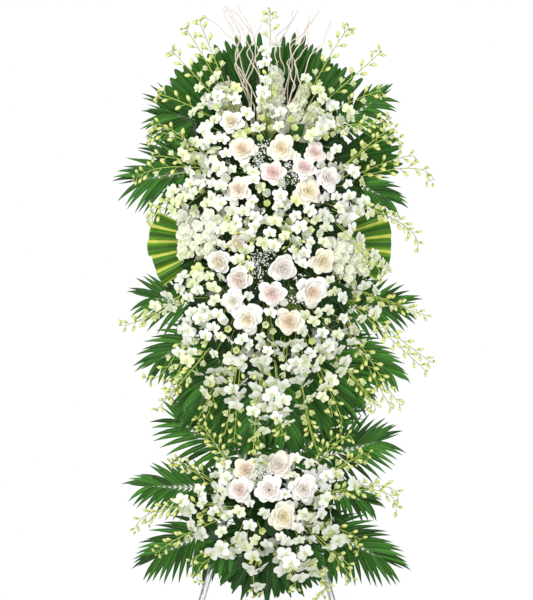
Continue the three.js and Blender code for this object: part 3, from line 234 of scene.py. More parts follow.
# A fan leaf has its heart and depth, its radius, both ends of its turn in degrees, its segments, how
# long they are between their tips, its tilt and the depth of its folds.
FAN_KEYS = ("centre", "y", "radius", "from", "to", "segments", "notch", "tilt", "pleat")
FANS = {
    "fan_leaves_top": upper("top", 0, BACK_ROW, leaves=[
        ((-16, 1530), -34, 300, 88, 122, 5, 0.66, -10), ((26, 1530), -34, 306, 58, 88, 5, 0.66, -22),
    ]),
    "fan_leaves_top_left": upper("top", -58, BACK_ROW, leaves=[((-90, 1505), -56, 280, 100, 152, 9, 0.88, 2)]),
    "fan_leaves_top_right": upper("top", 58, BACK_ROW, leaves=[((92, 1505), -56, 270, 40, 78, 6, 0.8, 2)]),
    "fan_leaves_right": upper("right", 1375, BACK_ROW, leaves=[((150, 1422), -8, 264, -6, 34, 7, 0.84, -14)]),
    "fan_leaves_skirt": upper("bottom", 0, -66, leaves=[
        ((-16, 960), -70, 370, 234, 270, 7, 0.62), ((16, 960), -70, 370, 270, 308, 7, 0.62),
    ]),
    "fan_leaves_lower": lower("bottom", 0, -60, leaves=[
        ((-10, 345), -74, 220, 220, 268, 5, 0.78, 2), ((22, 345), -80, 226, 268, 314, 5, 0.74, 2),
    ]),
}

PLEATED = {
    "pleated_leaf_left": upper("left", 1240, BACK_ROW, leaves=[
        ((-140, 1196), -48, 222, 154, 218, 5, 1, 0, 9),
    ]),
    "pleated_leaf_right": upper("right", 1220, BACK_ROW, leaves=[
        ((140, 1190), -48, 234, -30, 30, 5, 1, 0, 9),
    ]),
}

# A leaf has its place, its angle and how far it lies behind the flowers.
SALAL = {
    "salal_upper": upper("front", 0, 1428, leaves=[(-20, 1500, 1.4), (86, 1520, 0.8), (62, 1340, 5.0, 70)]),
    "salal_middle": upper("front", 0, 1220, leaves=[
        (8, 1238, 1.2), (92, 1184, 0.9), (-98, 1134, 3.5, 92), (112, 1108, 5.6, 70), (182, 1072, 6),
    ]),
    "salal_lower": upper("front", 0, 1102, leaves=[
        (140, 980, 0.2, 70), (112, 925, 5.4, 74), (20, 956, 4.6, 90), (-112, 966, 3.4, 84),
    ]),
}

GYPSOPHILA = {
    "gypsophila_upper": upper("front", -12, 1340, behind=34, florets=[
        (-22, 1452), (-10, 1470), (-32, 1430), (-14, 1420), (60, 1416), (72, 1394), (62, 1366),
    ]),
    "gypsophila_middle": upper("front", 4, 1184, behind=34, florets=[
        (-28, 1146), (-6, 1160), (-40, 1118), (-14, 1128), (14, 1176), (-34, 1088), (92, 1076), (84, 1030),
    ]),
    "gypsophila_lower": lower("front", -2, 456, behind=26, florets=[
        (-24, 494), (-10, 506), (4, 502), (-36, 488), (-30, 476), (-16, 518),
    ]),
}

# A spike has its foot, its head and its width. The first of each bunch is the solids' own.
STOCK = {
    "stock_top": upper("top", 8, -84, spikes=[
        ((14, -100, 1556), (12, -92, 1700), 50), ((34, -100, 1530), (30, -96, 1720), 50),
        ((70, -104, 1540), (118, -100, 1662), 46), ((100, -108, 1500), (150, -108, 1610), 44),
    ]),
    "stock_left": upper("left", 1305, -84, spikes=[
        ((-196, -128, 1282), (-212, -118, 1150), 70), ((-158, -146, 1276), (-170, -150, 1140), 56),
        ((-238, -122, 1276), (-250, -112, 1146), 56),
    ]),
    "stock_right": upper("right", 1262, -84, spikes=[
        ((222, -128, 1190), (252, -112, 1078), 64), ((205, -142, 1196), (212, -140, 1090), 52),
        ((262, -116, 1194), (290, -104, 1096), 52),
    ]),
}

# A twig has its kinks, each by x, z and y.
WILLOW = {
    "willow_left": upper("top", -28, -108, twigs=[
        ((-48, 1560, -112), (-63, 1680, -104), (-93, 1790, -94), (-142, 1842, -86), (-192, 1878, -76)),
        ((-52, 1610, -122), (-96, 1722, -116), (-84, 1800, -112), (-120, 1860, -106), (-132, 1896, -102)),
        ((-38, 1600, -132), (-72, 1668, -130), (-42, 1750, -128), (-66, 1812, -124), (-111, 1890, -120)),
        ((-26, 1570, -142), (-20, 1680, -144), (-60, 1760, -142), (-24, 1830, -140), (-10, 1872, -138)),
    ]),
    "willow_right": upper("top", 40, -108, twigs=[
        ((56, 1570, -112), (66, 1690, -106), (72, 1780, -100), (110, 1822, -94), (157, 1893, -86)),
        ((64, 1600, -120), (87, 1700, -116), (69, 1790, -113), (120, 1830, -108), (138, 1866, -102)),
        ((70, 1590, -130), (104, 1680, -127), (132, 1756, -124), (168, 1788, -118), (192, 1860, -112)),
        ((50, 1580, -142), (84, 1660, -144), (60, 1730, -142), (96, 1782, -140), (90, 1830, -138)),
    ]),
}

# Directions and curves

UP = np.array([0.0, 0.0, 1.0])
FRONT = np.array([0.0, -1.0, 0.0])


def vec(*values):
    return np.array(values, dtype=float)


def unit(v):
    return v / np.linalg.norm(v)


def mix(a, b, t):
    return a + (b - a) * t


def smooth(t, low, high):
    t = np.clip((t - low) / (high - low), 0, 1)
    return t * t * (3 - 2 * t)


def across(direction):
    """Two directions square to one another and to the given one."""
    level = FRONT if abs(direction @ UP) > 0.95 else UP
    side = unit(np.cross(level, direction))
    return side, unit(np.cross(direction, side))


def rotated(v, axis, angle):
    return (
        v * math.cos(angle)
        + np.cross(axis, v) * math.sin(angle)
        + axis * (axis @ v) * (1 - math.cos(angle))
    )


def axes_of(along, facing):
    """Axes for a leaf or a bloom: Y along it, Z the way that it faces, as columns."""
    y = unit(along)
    z = unit(facing - y * (facing @ y))
    return np.column_stack([np.cross(y, z), y, z])


def curve_at(controls, t):
    """Points of a Bezier curve."""
    rows = [np.asarray(c, dtype=float) for c in controls]
    t = np.asarray(t, dtype=float)[..., None]
    while len(rows) > 1:
        rows = [a + (b - a) * t for a, b in zip(rows, rows[1:])]
    return rows[0]


def tangent_at(controls, t):
    step = 1e-4
    low, high = max(0.0, t - step), min(1.0, t + step)
    return unit(curve_at(controls, high) - curve_at(controls, low))


# The florist's rule, as the solids follow it: the same draws, courses and places.

class Room:
    """Ground that pieces already hold, as balls, so that stems and blooms are bent clear of them."""

    def __init__(self):
        self.names = []
        self.owners = np.zeros(0, dtype=int)
        self.centres = np.zeros((0, 3))
        self.radii = np.zeros(0)
        self.blooms = np.zeros(0, dtype=bool)

    def owner(self, name):
        if name not in self.names:
            self.names.append(name)
        return self.names.index(name)

    def hold(self, name, centres, radius, bloom=False):
        centres = np.atleast_2d(centres)
        count = len(centres)
        self.owners = np.append(self.owners, np.full(count, self.owner(name)))
        self.centres = np.vstack([self.centres, centres])
        self.radii = np.append(self.radii, np.full(count, float(radius)))
        self.blooms = np.append(self.blooms, np.full(count, bloom))

    def is_clear(self, name, centres, radius, own_blooms=False):
        other = (self.owners != self.owner(name)) | (self.blooms & own_blooms)
        apart = np.atleast_2d(centres)[:, None] - self.centres[other][None]
        return bool((np.linalg.norm(apart, axis=2) > self.radii[other] + radius).all())


held = Room()
opened = []
seed = 1977


def random(low=0.0, high=1.0):
    global seed
    seed = (seed * 16807) % 2147483647
    return low + (high - low) * seed / 2147483647


def dome_depth(dome, x, z):
    spread = math.hypot(x / dome["width"], (z - dome["z"]) / dome["height"])
    swell = dome["crown"] * math.sqrt(1 - spread * spread) if spread < 1 else -30 * (spread - 1)
    return dome["rim"] - swell - max(0, dome["z"] - z) * dome["droop"]


def on_dome(dome, place, proud=0.0):
    return vec(place[0], dome_depth(dome, place[0], place[1]) - proud, place[1])


def outwards(dome, p):
    return unit(vec(p[0] / dome["width"], -1.3, (p[2] - dome["z"]) / dome["height"] / 1.2))


def peg_of(bunch):
    foam, (face, along, row) = bunch["foam"], bunch["peg"]
    mouth, out = {
        "left": (vec(-foam["half"], row, along), vec(-1, 0, 0)),
        "right": (vec(foam["half"], row, along), vec(1, 0, 0)),
        "top": (vec(along, row, foam["high"]), vec(0, 0, 1)),
        "bottom": (vec(along, row, foam["low"]), vec(0, 0, -1)),
        "front": (vec(along, FOAM_FRONT, row), vec(0, -1, 0)),
    }[face]
    return {"mouth": mouth, "out": out, "start": mouth + out * (PEG["proud"] - PEG["stem_depth"])}


def root_on(peg, target):
    aim = target - peg["start"]
    aim = aim - peg["out"] * (aim @ peg["out"])
    return peg["start"] + unit(aim) * PEG["radius"] * 0.45


def arch_from(peg, via, tip):
    root = root_on(peg, via)
    leaving = root + peg["out"] * np.linalg.norm(root - via) * 0.3
    arriving = (via * 8 - root - tip - leaving * 3) / 3
    return [root, leaving, arriving, tip]


def clear_course(name, course):
    curves = [course(shift) for shift in SHIFTS]
    spots = [curve_at(curve, np.linspace(0, 1, 41))[4:-3] for curve in curves]
    for own_blooms in (True, False):
        for curve, places in zip(curves, spots):
            if held.is_clear(name, places, STEM_ROOM, own_blooms):
                held.hold(name, places, STEM_ROOM)
                return curve
    held.hold(name, spots[0], STEM_ROOM)
    return curves[0]


def lay_stem(name, dome, peg, x, z, tip_x, tip_z, proud=0, blooms=2, first=0.42, last=0.6):
    """The course of an arching orchid stem, with the ground of the solids' blooms and buds held."""
    curve = clear_course(name, lambda shift: arch_from(
        peg, on_dome(dome, (x, z), proud + shift), on_dome(dome, (tip_x, tip_z), proud * 0.6 + shift * 0.8),
    ))
    for k in range(blooms):
        t = first + (last - first) * k / max(1, blooms - 1)
        root, along = curve_at(curve, t), tangent_at(curve, t)
        facing = outwards(dome, root)
        random(-0.3, 0.3)
        size = BLOOM["size"] * random(0.9, 1.08)
        hand = 1 if k % 2 else -1
        away = unit(np.cross(along, facing)) * hand
        lift = BLOOM["lift"] + BLOOM["layer"] * (k % 2)
        for swing, far in SWINGS:
            reach = rotated(away, facing, -swing * hand)
            centre = root + reach * BLOOM["reach"] * far + facing * lift
            apart = all(np.linalg.norm(p - centre) > size * BLOOM_SPACING for p in opened)
            if apart and held.is_clear(name, centre, size * 0.8):
                held.hold(name, centre, size * 0.86, True)
                opened.append(centre)
                break
    for k in range(2):
        t = 0.72 + 0.16 * k
        root, along = curve_at(curve, t), tangent_at(curve, t)
        away = unit(np.cross(along, outwards(dome, root))) * (1 if k % 2 else -1)
        direction = unit(along + away * 0.75 + FRONT * 0.2)
        length = BUD_LENGTH * (1.05 - 0.12 * k)
        if held.is_clear(name, root + direction * length * 0.6, length * 0.45):
            held.hold(name, root + direction * length * 0.6, length * 0.4)
    return curve


def courses_to(peg, end, share, lift):
    """Courses from a bunch's peg to an end, bent away from the foam and, by a shift, to the front."""
    root = root_on(peg, end)
    bend = mix(root, end, share) + peg["out"] * np.linalg.norm(root - end) * lift
    return lambda shift: [root, bend + FRONT * shift, end]


def lay_floret(name, dome, peg, place, k):
    centre = on_dome(dome, place, BLOOM["layer"] * (k % 2))
    facing = outwards(dome, centre)
    size = BLOOM["size"] * random(0.95, 1.12)
    curve = clear_course(name, courses_to(peg, centre - facing * 0.5 * size, 0.5, 0.2))
    held.hold(name, centre, size * 0.86, True)
    opened.append(centre)
    random(-0.5, 0.5)
    return {"centre": centre, "facing": facing, "curve": curve}


def lay_rose(name, dome, peg, x, z, width, proud=0):
    centre = on_dome(dome, (x, z), proud)
    facing = outwards(dome, centre)
    turn = random(0, 1.2)
    held.hold(name, centre, width * 0.5)
    curve = clear_course(name, courses_to(peg, centre - facing * 0.34 * width, 0, 0.35))
    return {"centre": centre, "facing": facing, "turn": turn, "width": width, "curve": curve}


def lay_leaf(name, dome, peg, x, z, angle, behind=62):
    middle = on_dome(dome, (x, z), -behind)
    direction = unit(vec(math.cos(angle), -0.35, math.sin(angle)))
    root, tip = (middle + direction * t * LEAF_LENGTH for t in (-0.5, 0.5))

    def course(shift):
        foot = root_on(peg, root)
        return [foot, mix(foot, root, 0.5) + peg["out"] * 8 + FRONT * shift, root]

    curve = clear_course(name, course)
    for t in (0.3, 0.5, 0.7):
        held.hold(name, mix(root, tip, t), 0.26 * LEAF_LENGTH)
    return {"root": root, "direction": direction, "curve": curve}


def lay_gypsophila(name, dome, peg, bunch):
    centres = []
    for place in bunch["florets"]:
        centre = on_dome(dome, place, -bunch["behind"] * random(0.8, 1.1))
        steps = [0.2 + 0.1 * k for k in range(8)]
        held.hold(name, [mix(peg["start"], centre, t) for t in steps], STEM_ROOM)
        held.hold(name, centre, 9)
        centres.append(centre)
    return centres


def lay_spike(name, foot, head, width):
    for k in range(SPIKE_BALLS):
        t = k / (SPIKE_BALLS - 1)
        swell = width * 0.5 * (0.55 + 0.6 * math.sin(math.pi * min(1, 0.35 + 0.65 * t)))
        held.hold(name, mix(vec(*foot), vec(*head), t), swell)


def lay_twig(name, peg, places):
    kinks = [vec(x, y, z) for x, z, y in places]
    path = [root_on(peg, kinks[0]), *kinks]
    for a, b in zip(path, path[1:]):
        held.hold(name, [mix(a, b, 0.1 * k) for k in range(10)], STEM_ROOM)
    return path


# Where the legs run, from their sockets in the hub to their feet.
legs = {}
for side, foot in FEET.items():
    hub_centre, foot_at = vec(0, 0, HUB_Z), vec(*foot)
    down = unit(foot_at - hub_centre)
    out_of = unit(down * vec(1, 1, 0)) * (HUB["radius"] - SLEEVE["inset"])
    top = hub_centre + down * SLEEVE["socket_from"] + out_of
    end = foot_at - down * FOOT["socket_from"]
    legs[side] = (top, end)
    held.hold("leg_" + side, [mix(top, end, 0.02 * k) for k in range(51)], LEG["radius"] + 2)

laid = {}
for name, bunch in STOCK.items():
    lay_spike(name, *bunch["spikes"][0])
for name, bunch in ROSES.items():
    peg = peg_of(bunch)
    laid[name] = [lay_rose(name, bunch["dome"], peg, *head) for head in bunch["heads"]]
for name, bunch in WILLOW.items():
    peg = peg_of(bunch)
    laid[name] = [lay_twig(name, peg, places) for places in bunch["twigs"]]
for name, bunch in GYPSOPHILA.items():
    laid[name] = lay_gypsophila(name, bunch["dome"], peg_of(bunch), bunch)
for name, bunch in SALAL.items():
    peg = peg_of(bunch)
    laid[name] = [lay_leaf(name, bunch["dome"], peg, *row) for row in bunch["leaves"]]
for name, bunch in ORCHIDS.items():
    peg, dome = peg_of(bunch), bunch["dome"]
    florets = [lay_floret(name, dome, peg, place, k) for k, place in enumerate(bunch["florets"])]
    laid[name] = (florets, [lay_stem(name, dome, peg, *stem) for stem in bunch["stems"]])

# Moulds: one closed shape for each kind of petal, bud and leaf, copied by Geometry Nodes

class Mould:
    """Collects closed shells, with a UV across and along each and a mark that its finish reads."""

    def __init__(self):
        self.points, self.faces, self.uvs, self.marks, self.sharp = [], [], [], [], []

    def add(self, points, faces, uvs, mark, sharp=()):
        first = len(self.points)
        self.points.extend(np.asarray(points).reshape(-1, 3))
        self.faces.extend([[first + i for i in face] for face in faces])
        self.uvs.extend(uvs)
        self.marks.extend([mark] * len(points))
        self.sharp.extend([(first + a, first + b) for a, b in sharp])

    def sheet(self, middle, thick, mark=0.0):
        """A thin shell on a grid of points, its rim shared by the front and the back."""
        rows, cols = middle.shape[:2]
        normal = np.cross(np.gradient(middle, axis=1), np.gradient(middle, axis=0))
        normal /= np.maximum(np.linalg.norm(normal, axis=2, keepdims=True), 1e-9)
        inner = np.zeros((rows, cols, 1))
        inner[1:-1, 1:-1] = thick / 2
        front = np.arange(rows * cols).reshape(rows, cols)
        back = front.copy()
        back[1:-1, 1:-1] = rows * cols + np.arange((rows - 2) * (cols - 2)).reshape(rows - 2, cols - 2)
        points = [*(middle + normal * inner).reshape(-1, 3)]
        points += [*(middle - normal * inner)[1:-1, 1:-1].reshape(-1, 3)]
        faces, uvs, sharp = [], [], []
        for i in range(rows - 1):
            for j in range(cols - 1):
                corners = [(i, j), (i, j + 1), (i + 1, j + 1), (i + 1, j)]
                places = [(c / (cols - 1), r / (rows - 1)) for r, c in corners]
                faces.append([int(front[c]) for c in corners])
                faces.append([int(back[c]) for c in reversed(corners)])
                uvs += places + places[::-1]
        rim = [(0, j) for j in range(cols)] + [(i, cols - 1) for i in range(1, rows)]
        rim += [(rows - 1, j) for j in range(cols - 2, -1, -1)] + [(i, 0) for i in range(rows - 2, 0, -1)]
        for a, b in zip(rim, rim[1:] + rim[:1]):
            sharp.append((int(front[a]), int(front[b])))
        self.add(points, faces, uvs, mark, sharp)

    def blade(self, form, along, cols, thick, mark=0.0):
        """A closed thin blade whose middle surface is form(u, v): u from -1 to 1 across it, v along it."""
        u, v = np.meshgrid(np.linspace(-1, 1, cols + 1), np.asarray(along, dtype=float))
        self.sheet(np.stack(np.broadcast_arrays(*form(u, v)), axis=-1), thick, mark)

    def spindle(self, rings, sides, mark=0.0, bend=0.0):
        """A closed turned form along Z, from rings of a height and a radius, with a point at both ends."""
        low, high = rings[0][0], rings[-1][0]
        points = [vec(0, 0, low)]
        for z, r in rings[1:-1]:
            for k in range(sides):
                turn = 2 * math.pi * k / sides
                points.append(vec(r * math.cos(turn) + bend * (z - low) ** 2, r * math.sin(turn), z))
        points.append(vec(bend * (high - low) ** 2, 0, high))
        faces, uvs = [], []
        last = len(points) - 1
        span = high - low
        for k in range(sides):
            after = (k + 1) % sides
            faces.append([0, 1 + after, 1 + k])
            uvs += [(0.5, 0)] + [((k + 0.5) / sides, (rings[1][0] - low) / span)] * 2
            for ring in range(len(rings) - 3):
                a, b = 1 + ring * sides, 1 + (ring + 1) * sides
                v0, v1 = (rings[ring + 1][0] - low) / span, (rings[ring + 2][0] - low) / span
                faces.append([a + k, a + after, b + after, b + k])
                u0, u1 = k / sides, (k + 1) / sides
                uvs += [(u0, v0), (u1, v0), (u1, v1), (u0, v1)]
            top = 1 + (len(rings) - 3) * sides
            faces.append([top + k, top + after, last])
            uvs += [((k + 0.5) / sides, (rings[-2][0] - low) / span)] * 2 + [(0.5, 1)]
        self.add(points, faces, uvs, mark)

    def mesh(self, name):
        mesh = bpy.data.meshes.new(name)
        points = [tuple(float(c) * MM for c in p) for p in self.points]
        mesh.from_pydata(points, [], self.faces)
        layer = mesh.uv_layers.new(name="UVMap")
        layer.data.foreach_set("uv", [c for uv in self.uvs for c in uv])
        mark = mesh.attributes.new("mark", "FLOAT", "POINT")
        mark.data.foreach_set("value", self.marks)
        rim = {frozenset(edge) for edge in self.sharp}
        sharp = [frozenset(edge.vertices) in rim for edge in mesh.edges]
        mesh.attributes.new("sharp_edge", "BOOLEAN", "EDGE").data.foreach_set("value", sharp)
        mesh.shade_smooth()
        mesh.attributes["sharp_edge"].data.foreach_set("value", sharp)
        return mesh


mould_groups = []


def mould_set(name, moulds):
    """A collection of the variants of one shape, which the scatter tree picks from by number."""
    group = bpy.data.collections.new(name)
    bpy.context.scene.collection.children.link(group)
    mould_groups.append(group)
    for k, mould in enumerate(moulds):
        title = f"{name}_{k}"
        group.objects.link(bpy.data.objects.new(title, mould.mesh(title)))
    return group


def turned(reach, aside, angle):
    """The x and y of a place, by how far out it lies along an angle and how far to its side."""
    return reach * math.cos(angle) - aside * math.sin(angle), reach * math.sin(angle) + aside * math.cos(angle)


def tepal(length, width, angle, lift, cup, curl, widths):
    """One petal of a flat bloom, out from its middle at an angle, with half widths along it."""
    stations = np.linspace(0, 1, len(widths))

    def form(u, v):
        reach = length * (v - 0.05 * np.abs(u) * v * v)
        half = width / 2 * np.interp(v, stations, widths)
        return *turned(reach, u * half, angle), lift + cup * u * u * v + curl * v * v

    return form


draw = np.random.default_rng(311)


def orchid_bloom_mould():
    mould = Mould()
    round_widths = [0.26, 0.82, 1.0, 0.94, 0.5]
    long_widths = [0.3, 0.86, 1.0, 0.88, 0.42]
    along = [0, 0.32, 0.64, 0.88, 1]
    for degrees, length, width, lift, widths in [
        (90, 24, 17, 0, long_widths), (214, 23, 17, 0, long_widths), (326, 23, 17, 0, long_widths),
        (20, 25, 22, 1.5, round_widths), (160, 25, 22, 1.5, round_widths),
    ]:
        angle = math.radians(degrees + draw.uniform(-7, 7))
        size = draw.uniform(0.9, 1.06)
        curl = draw.uniform(-7, 4)
        cup = draw.uniform(-2, 4)
        mould.blade(tepal(length * size, width, angle, lift, cup, curl, widths), along, 2, 1.1)

    def lip(u, v):
        half = 5 * np.interp(v, [0, 0.3, 0.7, 1], [0.45, 0.7, 1, 0.5])
        return u * half, -1 - 9 * v, 3 + 6 * np.sin(v * 2.6) * (1 - 0.3 * v) + 3 * u * u * (1 - v)

    mould.blade(lip, [0, 0.35, 0.7, 1], 2, 1.2, mark=0.55)
    mould.spindle([(0, 0), (2, 2.2), (7, 1.9), (9, 0)], 4, mark=0.5)
    return mould


def half_open_mould():
    """An orchid that is still opening: its petals stand up in a cup."""
    mould = Mould()
    for k in range(5):
        angle = 2 * math.pi * k / 5 + draw.uniform(-0.15, 0.15)

        def form(u, v):
            turn = angle + u * 0.72 * np.interp(v, [0, 0.5, 0.8, 1], [1, 1, 0.8, 0.3])
            radius = 2 + 7.5 * np.sin(v * 1.9) + 3 * v * v
            return radius * np.cos(turn), radius * np.sin(turn), -6 + 20 * v

        mould.blade(form, [0, 0.35, 0.7, 0.9, 1], 2, 1.0, mark=0.4)
    return mould


def bud_mould():
    mould = Mould()
    rings = [(0, 0), (0.06, 0.09), (0.26, 0.2), (0.55, 0.26), (0.82, 0.18), (1.0, 0)]
    mould.spindle(rings, 6, bend=0.14)
    return mould


ROSE_PETALS = 28


def rose_mould(openness):
    """A rose of unit width round +Z: petals in a spiral, closed over the heart and curled back outside."""
    mould = Mould()
    for k in range(ROSE_PETALS):
        inner = k / (ROSE_PETALS - 1)
        outer = 1 - inner
        turn = k * GOLDEN_ANGLE + draw.uniform(-0.25, 0.25)
        belly = 0.03 + 0.355 * outer ** 0.86 * draw.uniform(0.94, 1.06)
        base = 0.04 - 0.34 * outer ** 0.6
        top = 0.15 - 0.27 * outer ** 1.5 + draw.uniform(-0.012, 0.012)
        close = 0.6 * inner ** 1.6
        flare = 0.13 * outer ** 0.9 * openness + 0.02
        drop = 0.13 * outer ** 0.9 * openness
        spread = 0.66 + 0.75 * inner ** 1.5
        tip = draw.uniform(0.4, 1.0)
        skew = draw.uniform(-0.12, 0.12)

        def form(u, v):
            s = v * (1 - 0.2 * np.abs(u) ** 2.2)
            radius = 0.04 + (belly - 0.04) * np.sin(np.minimum(s / 0.72, 1) * math.pi / 2)
            radius = radius * (1 - close * smooth(s, 0.7, 1.05))
            height = base + (top - base) * s ** 0.9
            roll = smooth(s, 0.62, 1.0)
            radius = (radius + roll * flare * (1 + 0.25 * np.abs(u))) * (1 + skew * u)
            height = height - roll * drop * (0.35 + 0.9 * np.abs(u) ** 1.5)
            point = smooth(v, 0.78, 1.0) * (1 - np.abs(u)) ** 1.5 * tip * outer
            radius = radius + point * 0.06
            height = height - point * 0.03
            wide = np.interp(v, [0, 0.25, 0.6, 0.9, 1], [0.5, 0.85, 1.0, 0.86, 0.62])
            phi = turn + u * spread * wide
            return radius * np.cos(phi), radius * np.sin(phi), height

        mould.blade(form, [0, 0.28, 0.52, 0.72, 0.88, 1], 5, 0.012, mark=inner)
    return mould


def calyx_mould():
    """The green hip and sepals under a rose of unit width."""
    mould = Mould()
    mould.spindle([(-0.43, 0), (-0.42, 0.03), (-0.36, 0.075), (-0.29, 0.06), (-0.24, 0)], 8)
    for k in range(5):
        angle = 2 * math.pi * k / 5

        def form(u, v):
            reach = 0.05 + 0.2 * v
            half = 0.055 * (1 - v) + 0.004
            return *turned(reach, u * half, angle), -0.32 + 0.1 * v - 0.12 * v * v

        mould.blade(form, [0, 0.35, 0.7, 1], 2, 0.012)
    return mould


def stock_mould():
    """A double floret of stock, with ruffled petals in two whorls."""
    mould = Mould()
    for ring, (count, length, lift, stand) in enumerate([(5, 15, 0, 2.5), (4, 9, 2, 6)]):
        for k in range(count):
            angle = 2 * math.pi * (k + 0.5 * ring) / count + draw.uniform(-0.2, 0.2)
            wave = draw.uniform(0, 6)

            def form(u, v):
                reach = length * (v - 0.12 * u * u * v)
                half = length * 0.5 * np.interp(v, [0, 0.4, 0.8, 1], [0.25, 0.8, 1, 0.6])
                return *turned(reach, u * half, angle), lift + stand * v + 1.5 * np.sin(2.6 * u + wave) * v

            mould.blade(form, [0, 0.4, 0.8, 1], 2, 0.9, mark=0.22 * ring)
    return mould


def gypsophila_mould():
    mould = Mould()
    bm = bmesh.new()
    bmesh.ops.create_icosphere(bm, subdivisions=1, radius=2.6)
    points = [vec(*vert.co) * draw.uniform(0.72, 1.15) for vert in bm.verts]
    faces = [[v.index for v in face.verts] for face in bm.faces]
    bm.free()
    mould.add(points, faces, [(0.5, 0.5)] * 3 * len(faces), 0.0)
    return mould


def leaf_mould(width, widths, fold, droop, thick, cols, rows=6, side=0.0):
    """A leaf of unit length along +Y that faces +Z, with half widths along it and a sag to one side."""
    mould = Mould()
    stations = np.linspace(0, 1, len(widths))

    def form(u, v):
        half = width / 2 * np.interp(v, stations, widths)
        return u * half + side * v * v, v, fold * half * np.abs(u) - droop * v * v

    mould.blade(form, np.linspace(0, 1, rows + 1), cols, thick)
    return mould


OVATE = [0.1, 0.62, 0.92, 1.0, 0.9, 0.62, 0.12]
LANCE = [0.3, 0.75, 1.0, 0.9, 0.6, 0.08]
STRAP = [0.4, 0.95, 1.0, 0.86, 0.5, 0.05]

# Geometry Nodes trees

def added(name, data):
    """A new object in the scene."""
    made = bpy.data.objects.new(name, data)
    bpy.context.scene.collection.objects.link(made)
    return made


class Tree:
    """A Geometry Nodes tree with named inputs, and the identifier of each for its modifier."""

    def __init__(self, name, inputs):
        self.group = bpy.data.node_groups.new(name, "GeometryNodeTree")
        face = self.group.interface
        face.new_socket("Geometry", in_out="INPUT", socket_type="NodeSocketGeometry")
        self.keys = {}
        for label, kind in inputs.items():
            socket = face.new_socket(label, in_out="INPUT", socket_type="NodeSocket" + kind)
            self.keys[label] = socket.identifier
        face.new_socket("Geometry", in_out="OUTPUT", socket_type="NodeSocketGeometry")
        self.start = self.group.nodes.new("NodeGroupInput")
        self.end = self.group.nodes.new("NodeGroupOutput")

    def node(self, kind, settings=None, **sockets):
        node = self.group.nodes.new(kind)
        for key, value in (settings or {}).items():
            setattr(node, key, value)
        for key, value in sockets.items():
            socket = node.inputs[key.replace("_", " ")]
            if isinstance(value, bpy.types.NodeSocket):
                self.group.links.new(value, socket)
            else:
                socket.default_value = value
        return node

    def read(self, name, kind):
        """A named attribute of the points."""
        node = self.node("GeometryNodeInputNamedAttribute", {"data_type": kind}, Name=name)
        return next(s for s in node.outputs if s.enabled and s.name == "Attribute")

    def finish(self, geometry):
        real = self.node("GeometryNodeRealizeInstances", Geometry=geometry)
        coat = self.node(
            "GeometryNodeSetMaterial",
            Geometry=real.outputs["Geometry"], Material=self.start.outputs["Finish"],
        )
        self.group.links.new(coat.outputs["Geometry"], self.end.inputs["Geometry"])

    def run(self, mesh, **inputs):
        """The tree's result on a mesh, as a plain mesh."""
        holder = added(self.group.name, mesh)
        modifier = holder.modifiers.new(self.group.name, "NODES")
        modifier.node_group = self.group
        for label, value in inputs.items():
            modifier[self.keys[label]] = value
        graph = bpy.context.evaluated_depsgraph_get()
        made = bpy.data.meshes.new_from_object(
            holder.evaluated_get(graph), preserve_all_data_layers=True, depsgraph=graph,
        )
        holder.modifiers.remove(modifier)
        bpy.data.objects.remove(holder)
        bpy.data.meshes.remove(mesh)
        for spare in ("turn", "size", "kind", "radius"):
            if spare in made.attributes:
                made.attributes.remove(made.attributes[spare])
        return made


def scatter_tree():
    """Puts a copy of a mould on each point, turned and sized by the point's own attributes."""
    tree = Tree("scatter", {"Moulds": "Collection", "Finish": "Material"})
    moulds = tree.node(
        "GeometryNodeCollectionInfo",
        Collection=tree.start.outputs["Moulds"], Separate_Children=True, Reset_Children=True,
    )
    turn = tree.node("FunctionNodeEulerToRotation", Euler=tree.read("turn", "FLOAT_VECTOR"))
    copies = tree.node(
        "GeometryNodeInstanceOnPoints",
        Points=tree.start.outputs["Geometry"], Instance=moulds.outputs["Instances"],
        Pick_Instance=True, Instance_Index=tree.read("kind", "INT"),
        Rotation=turn.outputs["Rotation"], Scale=tree.read("size", "FLOAT_VECTOR"),
    )
    tree.finish(copies.outputs["Instances"])
    return tree


def cane_tree():
    """Skins chains of edges as round stems, by the radius of each point, with closed ends."""
    tree = Tree("canes", {"Sides": "Int", "Finish": "Material"})
    path = tree.node("GeometryNodeMeshToCurve", Mesh=tree.start.outputs["Geometry"])
    ring = tree.node("GeometryNodeCurvePrimitiveCircle", Resolution=tree.start.outputs["Sides"], Radius=1.0)
    skin = tree.node(
        "GeometryNodeCurveToMesh", Curve=path.outputs["Curve"], Profile_Curve=ring.outputs["Curve"],
        Scale=tree.read("radius", "FLOAT"), Fill_Caps=True,
    )
    tree.finish(skin.outputs["Mesh"])
    return tree


scatter = scatter_tree()
canes = cane_tree()


def placed(points):
    return np.asarray(points, dtype=float) * MM + MAST_FOOT


def mark_points(mesh, name, kind, values):
    field = {"FLOAT_VECTOR": "vector", "FLOAT_COLOR": "color"}.get(kind, "value")
    mesh.attributes.new(name, kind, "POINT").data.foreach_set(field, values)


